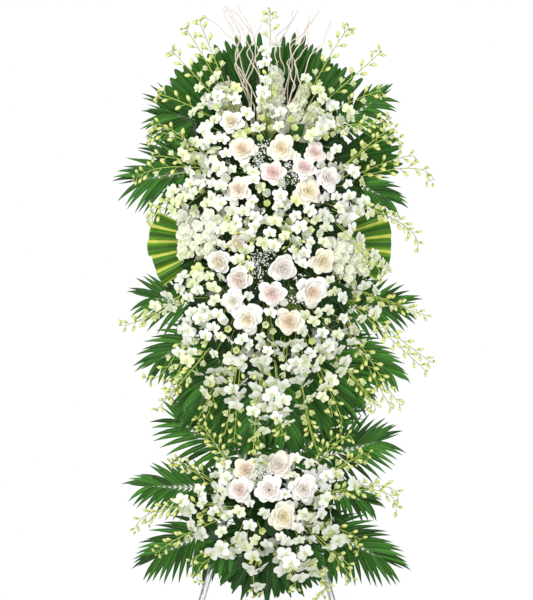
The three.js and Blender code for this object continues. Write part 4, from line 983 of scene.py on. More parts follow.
def copies(moulds, finish, spots):
    """A mesh of a mould's copies. A spot has its place, its axes, its size and its kind, then colours."""
    mesh = bpy.data.meshes.new("spots")
    mesh.from_pydata([tuple(p) for p in placed([spot["at"] for spot in spots])], [], [])
    turns = [Matrix(spot["axes"]).to_euler() for spot in spots]
    sizes = [np.broadcast_to(spot["size"], 3) for spot in spots]
    mark_points(mesh, "turn", "FLOAT_VECTOR", np.ravel(turns))
    mark_points(mesh, "size", "FLOAT_VECTOR", np.ravel(sizes))
    mark_points(mesh, "kind", "INT", [spot.get("kind", 0) for spot in spots])
    for colour in ("tone", "core"):
        if colour in spots[0]:
            mark_points(mesh, colour, "FLOAT_COLOR", np.ravel([(*spot[colour], 1.0) for spot in spots]))
    return scatter.run(mesh, Moulds=moulds, Finish=finish)


def stems(finish, paths, sides=6):
    """A mesh of round stems. A path has its points and the radius at each."""
    points, edges, radii = [], [], []
    for path, radius in paths:
        first = len(points)
        points += [tuple(p) for p in placed(path)]
        edges += [(first + k, first + k + 1) for k in range(len(path) - 1)]
        radii += list(np.broadcast_to(np.asarray(radius, dtype=float) * MM, len(path)))
    mesh = bpy.data.meshes.new("paths")
    mesh.from_pydata(points, edges, [])
    mark_points(mesh, "radius", "FLOAT", radii)
    return canes.run(mesh, Sides=sides, Finish=finish)


def piece(name, meshes, node):
    """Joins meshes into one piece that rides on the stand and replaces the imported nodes."""
    parts = [added(f"{name}_{k}" if k else name, mesh) for k, mesh in enumerate(meshes)]
    if len(parts) > 1:
        with bpy.context.temp_override(
            object=parts[0], active_object=parts[0], selected_objects=parts, selected_editable_objects=parts,
        ):
            bpy.ops.object.join()
    parts[0].data.name = name
    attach(parts[0], "root")
    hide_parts(node)

# Finishes: sums on sockets are written as sums, and every other node comes from one method

class Wire:
    """A socket of a finish, so that a sum on it adds its Math nodes."""

    def __init__(self, finish, socket):
        self.finish, self.socket = finish, socket

    def __add__(self, other):
        return self.finish.maths("ADD", self, other)

    def __sub__(self, other):
        return self.finish.maths("SUBTRACT", self, other)

    def __rsub__(self, other):
        return self.finish.maths("SUBTRACT", other, self)

    def __mul__(self, other):
        return self.finish.maths("MULTIPLY", self, other)

    __radd__ = __add__
    __rmul__ = __mul__


class Finish:
    def __init__(self, name, **constants):
        self.material = bpy.data.materials.new(name)
        self.material.use_nodes = True
        self.tree = self.material.node_tree
        self.shader = self.tree.nodes["Principled BSDF"]
        for key, value in constants.items():
            self.shader.inputs[key.replace("_", " ")].default_value = value

    def node(self, kind, settings=None, sockets=None):
        """Adds a node: its settings first, and then its sockets."""
        node = self.tree.nodes.new("ShaderNode" + kind)
        for key, value in (settings or {}).items():
            setattr(node, key, value)
        for key, value in (sockets or {}).items():
            self.feed(node.inputs[key], value)
        return node

    def feed(self, socket, value):
        """Links or sets a socket. A string is the hex code of a colour."""
        if isinstance(value, Wire):
            self.tree.links.new(value.socket, socket)
        else:
            socket.default_value = tint(value) if isinstance(value, str) else value

    def out(self, node, key=0):
        return Wire(self, node.outputs[key])

    def maths(self, operation, *values):
        return self.out(self.node("Math", {"operation": operation}, dict(enumerate(values))))

    def waves(self, value):
        """A sine, as a share from 0 to 1."""
        return self.maths("SINE", value) * 0.5 + 0.5

    def step(self, value, low, high):
        settings = {"interpolation_type": "SMOOTHSTEP"}
        return self.out(self.node("MapRange", settings, {0: value, 1: low, 2: high, 3: 0.0, 4: 1.0}))

    def mix(self, share, a, b):
        sockets = {0: share, 6: a, 7: b}
        return self.out(self.node("Mix", {"data_type": "RGBA"}, sockets), 2)

    def noise(self, scale, detail=2.0, stretch=None):
        where = self.out(self.node("TexCoord"), "Object")
        if stretch:
            where = self.out(self.node("VectorMath", {"operation": "MULTIPLY"}, {0: where, 1: stretch}))
        return self.out(self.node("TexNoise", None, {"Vector": where, "Scale": scale, "Detail": detail}))

    def uv(self):
        apart = self.node("SeparateXYZ", None, {0: self.out(self.node("UVMap", {"uv_map": "UVMap"}))})
        return self.out(apart, 0), self.out(apart, 1)

    def attribute(self, name, key="Fac"):
        return self.out(self.node("Attribute", {"attribute_name": name}), key)

    def done(self, colour, roughness, height, strength, depth):
        bump = self.node("Bump", None, {"Height": height, "Strength": strength, "Distance": depth})
        self.feed(self.shader.inputs["Base Color"], colour)
        self.feed(self.shader.inputs["Roughness"], roughness)
        self.feed(self.shader.inputs["Normal"], self.out(bump))
        return self.material


def tint(code):
    """A linear colour from a hex code."""
    parts = [int(code[k:k + 2], 16) / 255 for k in (0, 2, 4)]
    return (*[c / 12.92 if c <= 0.04045 else ((c + 0.055) / 1.055) ** 2.4 for c in parts], 1.0)


def petal_finish(name, body, warm, throat, spread, grain):
    """A soft petal: its body colour, a warmer shade in patches, and a throat that its mark brings out."""
    finish = Finish(name, Specular_IOR_Level=0.35, Sheen_Weight=0.12)
    u, v = finish.uv()
    heart = finish.maths("MAXIMUM", finish.attribute("mark"), (1 - finish.step(v, 0.0, spread)) * 0.75)
    colour = finish.mix(finish.noise(34.0), body, warm)
    colour = finish.mix(finish.attribute("tone"), colour, "dde59c")
    colour = finish.mix(heart, colour, throat)
    veins = finish.waves(u * grain)
    return finish.done(colour, 0.52 + finish.noise(90.0) * 0.14, veins, 0.18, 0.0005)


def rose_finish(name):
    finish = Finish(name, Specular_IOR_Level=0.3, Sheen_Weight=0.25)
    u, v = finish.uv()
    inner = finish.step(finish.attribute("mark"), 0.2, 0.9)
    colour = finish.mix(inner * 0.72, finish.attribute("tone", "Color"), finish.attribute("core", "Color"))
    colour = finish.mix((1 - finish.step(v, 0.1, 0.7)) * 0.1, colour, "f6edc8")
    edge = finish.step(v, 0.9, 1.0) * finish.noise(60.0) * 0.35
    colour = finish.mix(edge, colour, "fbf4e6")
    veins = finish.maths("SINE", u * 55.0) * 0.5 + finish.noise(180.0)
    return finish.done(colour, 0.5 + finish.noise(70.0) * 0.16, veins, 0.14, 0.0004)


def leaf_finish(name, deep, pale, rib, rim, ribs=0.0, gloss=0.48, foot=0.0):
    """A leaf: two greens in patches, a pale midrib and rim, and cross veins where it has them."""
    finish = Finish(name, Specular_IOR_Level=0.18)
    u, v = finish.uv()
    off = finish.maths("ABSOLUTE", u - 0.5) * 2
    midrib = 1 - finish.step(off, 0.02, 0.2)
    edge = finish.step(off, 0.66, 1.0)
    shade = finish.noise(16.0, 3.0) * 0.5 + finish.attribute("tone") * 0.75 - 0.12
    colour = finish.mix(finish.maths("MAXIMUM", shade, 0.0), deep, pale)
    lift = finish.attribute("tone") * 0.5 + 0.12
    colour = finish.mix(edge * lift, colour, rim)
    colour = finish.mix(midrib * (lift + 0.1), colour, rib)
    if foot:
        colour = finish.mix((1 - finish.step(v, 0.0, 0.15)) * foot, colour, "b4c89a")
    veins = finish.waves((v + off * 0.12) * ribs) if ribs else off
    colour = finish.mix(veins * 0.12, colour, rib) if ribs else colour
    return finish.done(colour, gloss + finish.noise(50.0) * 0.18, veins + midrib * -0.8, 0.35, 0.0006)


def stem_finish(name, colour_a, colour_b, roughness):
    finish = Finish(name, Specular_IOR_Level=0.4)
    grain = finish.noise(120.0, 3.0, (1.0, 1.0, 0.15))
    return finish.done(finish.mix(grain, colour_a, colour_b), roughness, grain, 0.3, 0.0005)


def bud_finish(name):
    finish = Finish(name, Specular_IOR_Level=0.4)
    u, v = finish.uv()
    colour = finish.mix(finish.step(v, 0.05, 0.6), "95ab3e", "dbe08c")
    colour = finish.mix(finish.step(v, 0.84, 1.0), colour, "c9a85c")
    ridges = finish.waves(u * 18.85)
    return finish.done(colour, 0.45 + finish.noise(60.0) * 0.12, ridges, 0.3, 0.0006)


def pleat_finish(name):
    """A variegated pleated leaf: green folds with yellow stripes that run out from its stalk, and painted shade
    that darkens each fold.
    """
    finish = Finish(name, Specular_IOR_Level=0.25)
    u = finish.uv()[0]
    folds = finish.maths("COSINE", u * 31.4) * 0.5 + 0.5
    stripe = finish.step(folds + finish.noise(40.0) * 0.2, 0.88, 1.08)
    bands = finish.step(finish.maths("SINE", u * 75.4), 0.3, 1.0)
    colour = finish.mix(finish.noise(14.0), "2c6714", "5f9629")
    colour = finish.mix(bands * 0.5, colour, "8cb840")
    # Painted shade: a near-black green mixed into the middle of each fold.
    colour = finish.mix(finish.step(folds, 0.0, 0.3) * -0.6 + 0.6, colour, "0f3006")
    colour = finish.mix(stripe * 0.85, colour, "dbe062")
    fine = finish.waves(u * 320.0)
    return finish.done(colour, 0.38 + finish.noise(50.0) * 0.15, fine, 0.35, 0.0005)


def fan_finish(name):
    """A fan leaf: fine ribs that run out from its stalk, paler towards the tips of its segments, with painted
    highlights in stripes across its folds.
    """
    finish = Finish(name, Specular_IOR_Level=0.2)
    u, v = finish.uv()
    fine = finish.waves(u * 260.0)
    colour = finish.mix(finish.noise(12.0, 3.0), "0b2c05", "205410")
    colour = finish.mix(finish.step(v, 0.55, 1.0) * 0.5, colour, "366a1c")
    # The paler green comes with the fine ribs and, as painted highlights, in stripes for the light on the folds.
    folds = finish.waves(u * 63.0)
    colour = finish.mix(fine * 0.16 + folds * 0.28, colour, "478030")
    return finish.done(colour, 0.46 + finish.noise(50.0) * 0.15, fine, 0.5, 0.0007)


def tube_finish(name):
    finish = Finish(name, Metallic=1.0)
    brushed = finish.noise(40.0, 2.0, (1.0, 1.0, 0.04))
    colour = finish.mix(brushed, "b9bdc2", "dfe2e5")
    return finish.done(colour, 0.2 + brushed * 0.16, finish.noise(220.0, 2.0, (1.0, 1.0, 0.05)), 0.06, 0.0003)


def moulded_finish(name, colour_a, colour_b, roughness):
    finish = Finish(name, Specular_IOR_Level=0.4)
    colour = finish.mix(finish.noise(9.0, 3.0), colour_a, colour_b)
    return finish.done(colour, roughness + finish.noise(30.0) * 0.12, finish.noise(400.0), 0.2, 0.0004)


def foam_finish(name):
    """Wet foam: a crumbly open grain."""
    finish = Finish(name, Specular_IOR_Level=0.2)
    crumbs = finish.noise(700.0, 4.0)
    pits = finish.step(finish.noise(160.0, 3.0), 0.42, 0.6)
    colour = finish.mix(crumbs, "1f4a2a", "3a6d42")
    colour = finish.mix(pits * 0.35, colour, "173a20")
    return finish.done(colour, 0.85 + crumbs * 0.12, crumbs - pits * 0.6, 0.7, 0.0012)


ORCHID_WHITE = petal_finish("orchid_petal", "f5f6f6", "eceee4", "c3d268", 0.28, 44.0)
STOCK_WHITE = petal_finish("stock_petal", "f6f6f3", "eef1e2", "d2dd94", 0.34, 30.0)
TINY_WHITE = petal_finish("gypsophila_petal", "ffffff", "f8f8f2", "fafaf2", 0.01, 20.0)
ROSE = rose_finish("rose_petal")
BUD = bud_finish("orchid_bud")
ORCHID_STEM = stem_finish("orchid_stem", "94ab45", "bccb68", 0.45)
ROSE_STEM = stem_finish("rose_stem", "3d6a2a", "5f8a3a", 0.5)
FINE_STEM = stem_finish("fine_stem", "5d8238", "8aa75a", 0.55)
RACHIS = stem_finish("palm_rachis", "9db57e", "d3e0be", 0.5)
BARK = stem_finish("willow_bark", "c4b097", "f7f0e6", 0.7)
PALM_LEAF = leaf_finish("palm_leaflet", "062204", "428526", "7fae5c", "548c38", foot=0.22)
# Its near-black deep green is partly the leaves' own colour and partly painted shade, which the backing leaves
# show almost alone.
BROAD_LEAF = leaf_finish("broad_leaf", "061c05", "22561a", "5d8c40", "2c6422", 60.0, 0.3)
FAN_LEAF = fan_finish("fan_leaf")
PLEATED_LEAF = pleat_finish("pleated_leaf")
TUBE = tube_finish("bright_tube")
RUBBER = moulded_finish("black_rubber", "161617", "242426", 0.72)
KNOB_PLASTIC = moulded_finish("knob_plastic", "141415", "202022", 0.42)
CAGE_PLASTIC = moulded_finish("cage_plastic", "1c5530", "24663a", 0.42)
FOAM = foam_finish("wet_foam")

# The stand

SHARP_DEGREES = 40


def lathe(profile, start, toward, sides=40, closed=False):
    """A bmesh turned round a line, from a profile of radius and height; a closed profile is a pipe's."""
    bm = bmesh.new()
    axis = unit(np.asarray(toward) - np.asarray(start))
    side, other = across(axis)
    rings = []
    for radius, height in profile:
        count = 1 if radius == 0 else sides
        ring = []
        for k in range(count):
            turn = 2 * math.pi * k / sides
            p = start + axis * height + (side * math.cos(turn) + other * math.sin(turn)) * radius
            ring.append(bm.verts.new(placed(p)))
        rings.append(ring)
    pairs = list(zip(rings, rings[1:])) + ([(rings[-1], rings[0])] if closed else [])
    for a, b in pairs:
        for k in range(sides):
            j = (k + 1) % sides
            corners = [a[k % len(a)], a[j % len(a)], b[j % len(b)], b[k % len(b)]]
            corners = [c for i, c in enumerate(corners) if c not in corners[:i]]
            if len(corners) > 2:
                bm.faces.new(corners)
    bmesh.ops.recalc_face_normals(bm, faces=bm.faces)
    return bm


def finished(bm, name, finish):
    """A mesh of a bmesh in one finish, smooth but for its sharp edges."""
    mesh = bpy.data.meshes.new(name)
    bm.to_mesh(mesh)
    bm.free()
    mesh.materials.append(finish)
    mesh.shade_smooth()
    mesh.set_sharp_from_angle(angle=math.radians(SHARP_DEGREES))
    return mesh


def pipe(radius, wall, length, chamfer=0.4):
    inner = radius - wall
    return [
        (inner, chamfer), (inner + chamfer, 0), (radius - chamfer, 0), (radius, chamfer),
        (radius, length - chamfer), (radius - chamfer, length), (inner + chamfer, length),
        (inner, length - chamfer),
    ]


def build_stand():
    for side, (top, end) in legs.items():
        length = np.linalg.norm(end - top)
        leg = finished(lathe(pipe(LEG["radius"], LEG["wall"], length), top, end, closed=True), "leg", TUBE)
        piece(f"tube_leg_{side}", [leg], f"leg_{side}")
        outer, high = FOOT["radius"], FOOT["height"]
        inner = LEG["radius"] + GAP
        down = unit(end - top)
        cap = [
            (0, FOOT["below"]), (outer, FOOT["below"]), (outer, -high + 14), (outer - 1.2, -high + 12),
            (outer - 1.2, -high + 9), (outer, -high + 7), (outer, -high + 2), (outer - 2, -high),
            (inner, -high), (inner, GAP), (0, GAP),
        ]
        bm = lathe(cap, end, end + down)
        cut = bmesh.ops.bisect_plane(
            bm, geom=[*bm.verts, *bm.edges, *bm.faces], plane_co=(0, 0, 0), plane_no=(0, 0, -1),
            clear_outer=True,
        )
        rim = [edge for edge in cut["geom_cut"] if isinstance(edge, bmesh.types.BMEdge)]
        bmesh.ops.edgeloop_fill(bm, edges=rim)
        bmesh.ops.recalc_face_normals(bm, faces=bm.faces)
        piece(f"cap_foot_{side}", [finished(bm, "cap", RUBBER)], f"foot_{side}")
    low, high = vec(0, 0, MAST["bottom"]), vec(0, 0, MAST["top"])
    mast = lathe(pipe(MAST["radius"], MAST["wall"], high[2] - low[2]), low, high, closed=True)
    piece("mast_tube", [finished(mast, "mast", TUBE)], "mast")

    rise, bore, radius = HUB["height"] / 2, MAST["radius"] + GAP, HUB["radius"]
    body = [
        (bore, -rise + 1), (bore + 1, -rise), (radius - 2.5, -rise), (radius - 0.7, -rise + 0.7),
        (radius, -rise + 2.5), (radius, rise - 2.5), (radius - 0.7, rise - 0.7), (radius - 2.5, rise),
        (bore + 1, rise), (bore, rise - 1),
    ]
    centre = vec(0, 0, HUB_Z)
    meshes = [finished(lathe(body, centre, centre + UP, 48, closed=True), "hub", TUBE)]
    for top, end in legs.values():
        along = unit(end - top)
        root, wall, inner = SLEEVE["from"], SLEEVE["radius"], LEG["radius"] + GAP
        reach = SLEEVE["to"]
        sleeve = [
            (0, root), (wall, root), (wall, reach - 1.5), (wall - 1, reach), (inner + 0.6, reach),
            (inner, reach - 0.8), (inner, -GAP), (0, -GAP),
        ]
        meshes.append(finished(lathe(sleeve, top, top + along, 32), "sleeve", TUBE))
    piece("hub_casting", meshes, "hub")

    neck = HUB["radius"] + KNOB["stand"]
    end, head, shaft = neck + KNOB["length"], KNOB["head"], KNOB["shaft"]
    knob = [
        (0, MAST["radius"] + 2 * GAP), (shaft, MAST["radius"] + 2 * GAP), (shaft, neck), (head - 3, neck),
        (head - 0.5, neck + 2), (head, neck + 4), (head, end - 3), (head - 1, end - 1), (head - 3, end),
        (0, end),
    ]
    start = vec(0, 0, HUB_Z + KNOB["rise"])
    bm = lathe(knob, start, start + vec(1, 0, 0), 48)
    middle = placed(start)
    for vert in bm.verts:
        # Grip flutes round the head.
        y, z = vert.co.y - middle[1], vert.co.z - middle[2]
        if math.hypot(y, z) > (head - 1.5) * MM:
            flute = 1 - 0.07 * (0.5 + 0.5 * math.cos(8 * math.atan2(z, y)))
            vert.co.y, vert.co.z = middle[1] + y * flute, middle[2] + z * flute
    piece("clamp_knob", [finished(bm, "knob", KNOB_PLASTIC)], "mast_knob")


build_stand()
for node in ("foam_upper", "foam_lower", "cage_upper", "cage_lower"):
    shown = bpy.data.objects[node] if node in bpy.data.objects else frame["nodes"][node]
    shown.data.materials.clear()
    shown.data.materials.append(FOAM if node.startswith("foam") else CAGE_PLASTIC)

# The flowers

ORCHID_MOULDS = mould_set("orchid_bloom", [orchid_bloom_mould() for _ in range(4)])
HALF_OPEN = mould_set("orchid_half_open", [half_open_mould()])
BUD_MOULDS = mould_set("orchid_bud", [bud_mould()])
ROSE_MOULDS = mould_set("rose_head", [rose_mould(0.8), rose_mould(0.6), rose_mould(1.0), rose_mould(0.4)])
CALYX = mould_set("rose_calyx", [calyx_mould()])
STOCK_MOULDS = mould_set("stock_floret", [stock_mould() for _ in range(3)])
TINY_MOULDS = mould_set("gypsophila_floret", [gypsophila_mould() for _ in range(3)])
BROAD_MOULDS = mould_set("broad_leaf", [
    leaf_mould(0.62, OVATE, 0.3, 0.1, 0.012, 4), leaf_mould(0.7, OVATE, 0.22, 0.2, 0.012, 4),
])
LANCE_MOULDS = mould_set("lance_leaf", [leaf_mould(0.2, LANCE, 0.35, 0.06, 0.006, 4)])
LEAFLET_MOULDS = mould_set("palm_leaflet", [
    leaf_mould(1, STRAP, 0.25, 0.4, 0.1, 2, 5, 0.9 * (k - 2)) for k in range(5)
])
ROLL = 1.1
TILT = 0.55
# Where open blooms give way to buds: half widths at heights, round the middle.
WHITE_MIDDLE = 6
UPPER_WHITE = (
    [640, 700, 780, 870, 1020, 1200, 1320, 1470, 1620, 1700, 1760, 1800],
    [24, 110, 200, 270, 325, 325, 285, 245, 205, 150, 70, -30],
)
LOWER_WHITE = ([120, 180, 240, 330, 420, 480, 530, 570], [20, 60, 150, 215, 262, 245, 150, 60])
BLOOM_ROOM, FILL_ROOM = 33, 30
box_low, box_high = (np.array(corner) for corner in cad_box)


def shade():
    """A random share of a leaf's paler green, as a grey."""
    return (float(draw.beta(1.1, 1.3)),) * 3


LEAF_ROOM, SHORTEST_LEAF = 7, 20


def fitting(root, direction, length):
    """A leaf's length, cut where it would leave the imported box."""
    tip = root + direction * length
    while np.any(within(tip, LEAF_ROOM) != tip) and length > SHORTEST_LEAF:
        length *= 0.96
        tip = root + direction * length
    return length


def within(p, room):
    """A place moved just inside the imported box, with some room for what stands there."""
    low, high = (box_low - MAST_FOOT) / MM + room, (box_high - MAST_FOOT) / MM - room
    return np.clip(p, low, high)


FRONT_ROOM, FRONT_EASE = 24, 40
SLIM_ROOM = 6
# How far from its tip a stem bears buds alone, how much of its foot is bare, and the height above which it
# has no twin.
BUDDING, LONG_BUDDING = 62, 160
BARE_SHARE, BARE_FOOT = 0.2, 40
TWINS_BELOW = 1620
STEM_STRAY = np.array([40.0, 12.0, 40.0])


def eased(p):
    """Places on a stem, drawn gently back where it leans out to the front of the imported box."""
    p = np.array(p, dtype=float)
    start = (box_low[1] - MAST_FOOT[1]) / MM + FRONT_ROOM + FRONT_EASE
    over = np.maximum(start - p[..., 1], 0)
    p[..., 1] += over - FRONT_EASE * over / (over + FRONT_EASE)
    return p


taken = np.zeros((0, 3))
roses = [rose for name in ROSES for rose in laid[name]]


def hides_rose(centre, margin):
    """Whether a bloom here would stand in a rose or in front of it."""
    for rose in roses:
        apart = centre - rose["centre"]
        width = rose["width"]
        if np.linalg.norm(apart) < 0.5 * width + margin:
            return True
        if math.hypot(apart[0], apart[2]) < 0.42 * width + margin and apart[1] < 0:
            return True
    return False


# Fronts that stay open, for the willow, the stock and the gypsophila: left, right, bottom and top.
OPEN_FRONTS = [
    (-90, -20, 1590, 1760), (25, 105, 1590, 1760), (90, 150, 1520, 1660),
    (-276, -140, 1120, 1285), (188, 304, 1076, 1210),
    (-45, 3, 1425, 1475), (46, 88, 1335, 1425), (-36, 72, 1095, 1180), (-45, -6, 990, 1100),
    (56, 112, 985, 1100), (190, 232, 1050, 1112), (-30, 40, 486, 520),
]


def in_open_front(centre):
    return any(a < centre[0] < b and c < centre[2] < d for a, b, c, d in OPEN_FRONTS)


def take(centre, gap):
    """Takes ground for a bloom, if the last blooms leave it."""
    global taken
    if len(taken) and np.min(np.linalg.norm(taken - centre, axis=1)) < gap:
        return False
    taken = np.vstack([taken, centre])
    return True


def nodding(facing, spread=TILT):
    return unit(facing + draw.normal(0, spread, 3) * 0.6)


def bloom_spot(centre, facing, size, kinds, lime=0.0):
    axes = axes_of_facing(rotated(UP, FRONT, draw.uniform(-ROLL, ROLL)), facing)
    return {"at": centre, "axes": axes, "size": size, "kind": int(draw.integers(kinds)), "tone": (lime,) * 3}


def some_lime():
    """A random share of yellow green for a bloom: little in most, much in some."""
    return float(draw.beta(0.45, 2.4))


def half_open_spot(centre, look, size):
    return {"at": centre, "axes": axes_of_facing(UP, look), "size": size, "tone": (draw.uniform(0.2, 0.9),) * 3}


def axes_of_facing(up, facing):
    z = unit(facing)
    y = unit(up - z * (up @ z))
    return np.column_stack([np.cross(y, z), y, z])


def pointing(direction, roll=0.0):
    """Axes with Z along a direction."""
    z = unit(direction)
    side = rotated(across(z)[0], z, roll)
    return np.column_stack([side, np.cross(z, side), z])


def peg_path(peg):
    """The bound end of a bunch's stems, from the bottom of its hole in the foam."""
    out, mouth = peg["out"], peg["mouth"]
    steps = [-PEG["depth"] + 1, -PEG["depth"] + 4, PEG["proud"] - 2, PEG["proud"]]
    radii = [PEG["radius"] * share for share in (0.55, 0.68, 0.7, 0.5)]
    return [mouth + out * step for step in steps], radii


def stem_path(curve, thick, thin, count):
    """A stem along a Bezier curve: its points, and the radius at each."""
    t = np.linspace(0, 1, count)
    return curve_at(curve, t), mix(thick, thin, t)


def white_room(dome, p):
    """How far a place lies inside the white of its tier, sideways."""
    heights, halves = UPPER_WHITE if dome is UPPER_DOME else LOWER_WHITE
    return np.interp(p[2], heights, halves) - abs(p[0] - WHITE_MIDDLE)


def orchid_spray(dome, curve, spots, budding=BUDDING):
    """Dresses one arching stem: buds from its tip to the edge of the white, then cups and open blooms."""
    samples = np.linspace(0, 1, 121)
    points = eased(curve_at(curve, samples))
    arc = np.concatenate([[0], np.cumsum(np.linalg.norm(np.diff(points, axis=0), axis=1))])
    total = arc[-1]

    def course(from_tip):
        t = float(np.interp(total - from_tip, arc, samples))
        return within(eased(curve_at(curve, t)), 8), tangent_at(curve, t), t

    end, along, _ = course(9)
    path = within(points[: np.searchsorted(arc, total - 8)][::6], SLIM_ROOM)
    spots["stems"].append((path, np.linspace(2.2, 1.0, len(path))))
    spots["buds"].append({"at": within(end, 12), "axes": pointing(along), "size": 15})
    from_tip, hand = 22.0, 1
    while True:
        root, along, t = course(from_tip)
        if t < BARE_SHARE or from_tip > total - BARE_FOOT:
            break
        facing = outwards(dome, root)
        away = unit(np.cross(along, facing)) * hand
        hand = -hand
        room, ripe = white_room(dome, root) + draw.normal(0, 14), min(from_tip / 150, 1)
        if room < 0 or from_tip < budding or draw.uniform() < 0.28:
            direction = unit(along * 0.8 + away * draw.uniform(0.55, 0.9) + FRONT * draw.uniform(0, 0.5))
            foot = within(root + direction * (6 + 8 * ripe), 30)
            spots["stems"].append(([root, foot], [0.9, 1.1]))
            if ripe > 0.45 and room > -60 and draw.uniform() < 0.5:
                look = unit(direction + facing * 0.5)
                spots["half"].append(half_open_spot(foot + look * 5, look, 0.8))
            else:
                size = 16 + 8 * ripe
                spots["buds"].append({"at": foot, "axes": pointing(direction, draw.uniform(0, 6)), "size": size})
            from_tip += draw.uniform(16, 23) + 2 * ripe
            continue
        direction = unit(away + along * 0.35 + facing * draw.uniform(0.35, 0.9))
        centre = within(root + direction * draw.uniform(16, 26), BLOOM_ROOM)
        look = nodding(unit(facing + direction * 0.45 + along * 0.15))
        size = draw.uniform(0.8, 1.0) + (0.3 if dome is LOWER_DOME else 0.2 * min(room / 150, 1))
        if not hides_rose(centre, 8) and not in_open_front(centre) and take(centre, 28 * size):
            back = centre - look * 3
            bend = mix(root, back, 0.5) + along * 3 - look * 2
            spots["stems"].append(([root, bend, back], [1.0, 1.0, 1.4]))
            lime = (min(max(0.6 - room / 70, 0), 0.6) + 0.4 * some_lime()) * (0.3 if dome is LOWER_DOME else 1)
            spots["blooms"].append(bloom_spot(centre, look, size, 4, lime))
        from_tip += draw.uniform(14, 20)


def orchid_meshes(name, bunch, peg, paths):
    dome = bunch["dome"]
    florets, curves = laid[name]
    spots = {"stems": paths, "blooms": [], "half": [], "buds": []}
    for floret in florets:
        centre, facing = eased(floret["centre"]), floret["facing"]
        if in_open_front(centre) or not take(centre, 24):
            continue
        path, radii = stem_path(floret["curve"], 1.8, 1.4, 10)
        spots["stems"].append((within(eased(path), SLIM_ROOM), radii))
        spots["stems"].append(([eased(path[-1]), centre - facing * 3], [1.4, 1.5]))
        centre, look = within(centre, FILL_ROOM), nodding(facing)
        spots["blooms"].append(bloom_spot(centre, look, draw.uniform(0.85, 1.1), 4, some_lime()))
    for curve in curves:
        orchid_spray(dome, curve, spots, LONG_BUDDING if name == "orchids_centre" else BUDDING)
        root, leaving, arriving, tip = curve
        if tip[2] > TWINS_BELOW:
            continue
        stray = draw.uniform(-1, 1, 3) * STEM_STRAY
        tip = within(curve_at(curve, draw.uniform(0.7, 0.92)) + stray, 14)
        orchid_spray(dome, [root, leaving, arriving + stray * 0.6, tip], spots)
    for centre, facing in extra[name]:
        root = root_on(peg, centre)
        bend = mix(root, centre, 0.6) + peg["out"] * 16
        spots["stems"].append(stem_path([root, bend, centre - facing * 3], 1.5, 1.2, 7))
        if draw.uniform() < 0.16:
            spots["half"].append(half_open_spot(centre, facing, 0.9))
        else:
            spots["blooms"].append(bloom_spot(centre, facing, draw.uniform(0.7, 1.04), 4, some_lime()))
    meshes = [
        stems(ORCHID_STEM, spots["stems"], 5),
        copies(ORCHID_MOULDS, ORCHID_WHITE, spots["blooms"]),
    ]
    if spots["half"]:
        meshes.append(copies(HALF_OPEN, ORCHID_WHITE, spots["half"]))
    if spots["buds"]:
        meshes.append(copies(BUD_MOULDS, BUD, spots["buds"]))
    return meshes


def rose_meshes(name, bunch, peg, paths):
    spots = []
    for rose, (tone, core, kind) in zip(laid[name], ROSE_TINTS[name]):
        z = nodding(rose["facing"], 0.16)
        spots.append({
            "at": rose["centre"], "axes": pointing(z, rose["turn"]), "size": rose["width"] * 1.12, "kind": kind,
            "tone": tint(tone)[:3], "core": tint(core)[:3],
        })
        paths.append(stem_path(rose["curve"], 3.0, 2.6, 12))
        paths.append(([rose["curve"][-1], rose["centre"] - z * 0.3 * rose["width"]], [2.6, 2.6]))
    return [
        copies(ROSE_MOULDS, ROSE, spots), copies(CALYX, ROSE_STEM, [{**spot, "kind": 0} for spot in spots]),
        stems(ROSE_STEM, paths),
    ]


WHITE, CREAM, BUTTER, BLUSH, PEACH, PINK = "fdfbf7", "fdf8e8", "fdf2cc", "fdf2ec", "fde8d8", "fde0da"
ORANGE = "fde5ca"
ROSE_TINTS = {
    "roses_upper_left": [(WHITE, BUTTER, 1), (CREAM, ORANGE, 0), (CREAM, PEACH, 0)],
    "roses_upper_right": [
        (CREAM, BUTTER, 0), (BLUSH, PINK, 1), (BLUSH, PINK, 0), (WHITE, PINK, 1), (WHITE, BLUSH, 0),
        (CREAM, BUTTER, 2),
    ],
    "roses_middle_left": [
        (BLUSH, BLUSH, 1), (WHITE, BUTTER, 3), (WHITE, PEACH, 3), (WHITE, CREAM, 2), (WHITE, BUTTER, 2),
    ],
    "roses_middle_right": [
        (WHITE, BLUSH, 3), (WHITE, PINK, 1), (CREAM, BUTTER, 1), (WHITE, ORANGE, 2), (CREAM, ORANGE, 1),
    ],
    "roses_lower_left": [(CREAM, PEACH, 1), (WHITE, PINK, 0), (WHITE, BLUSH, 0)],
    "roses_lower_right": [(CREAM, BLUSH, 0), (WHITE, BLUSH, 2), (CREAM, BUTTER, 0)],
}


def spot_in(middle, half):
    """A random place in an oval."""
    angle, reach = draw.uniform(0, 2 * math.pi), math.sqrt(draw.uniform())
    return middle[0] + half[0] * reach * math.cos(angle), middle[1] + half[1] * reach * math.sin(angle)


def fill_places(dome, middle, half, gap, tries, depth):
    """Places for blooms that close the tier's face between its roses and sprays."""
    places = []
    for _ in range(tries):
        centre = within(on_dome(dome, spot_in(middle, half), draw.uniform(*depth)), FILL_ROOM)
        if hides_rose(centre, 10) or in_open_front(centre) or not take(centre, gap * draw.uniform(0.8, 1.2)):
            continue
        places.append((centre, nodding(outwards(dome, centre))))
    return places


def nearest_bunch(centre, table, dome=UPPER_DOME):
    names = [name for name, bunch in table.items() if bunch["dome"] is dome]
    return min(names, key=lambda name: np.linalg.norm(peg_of(table[name])["start"] - centre))


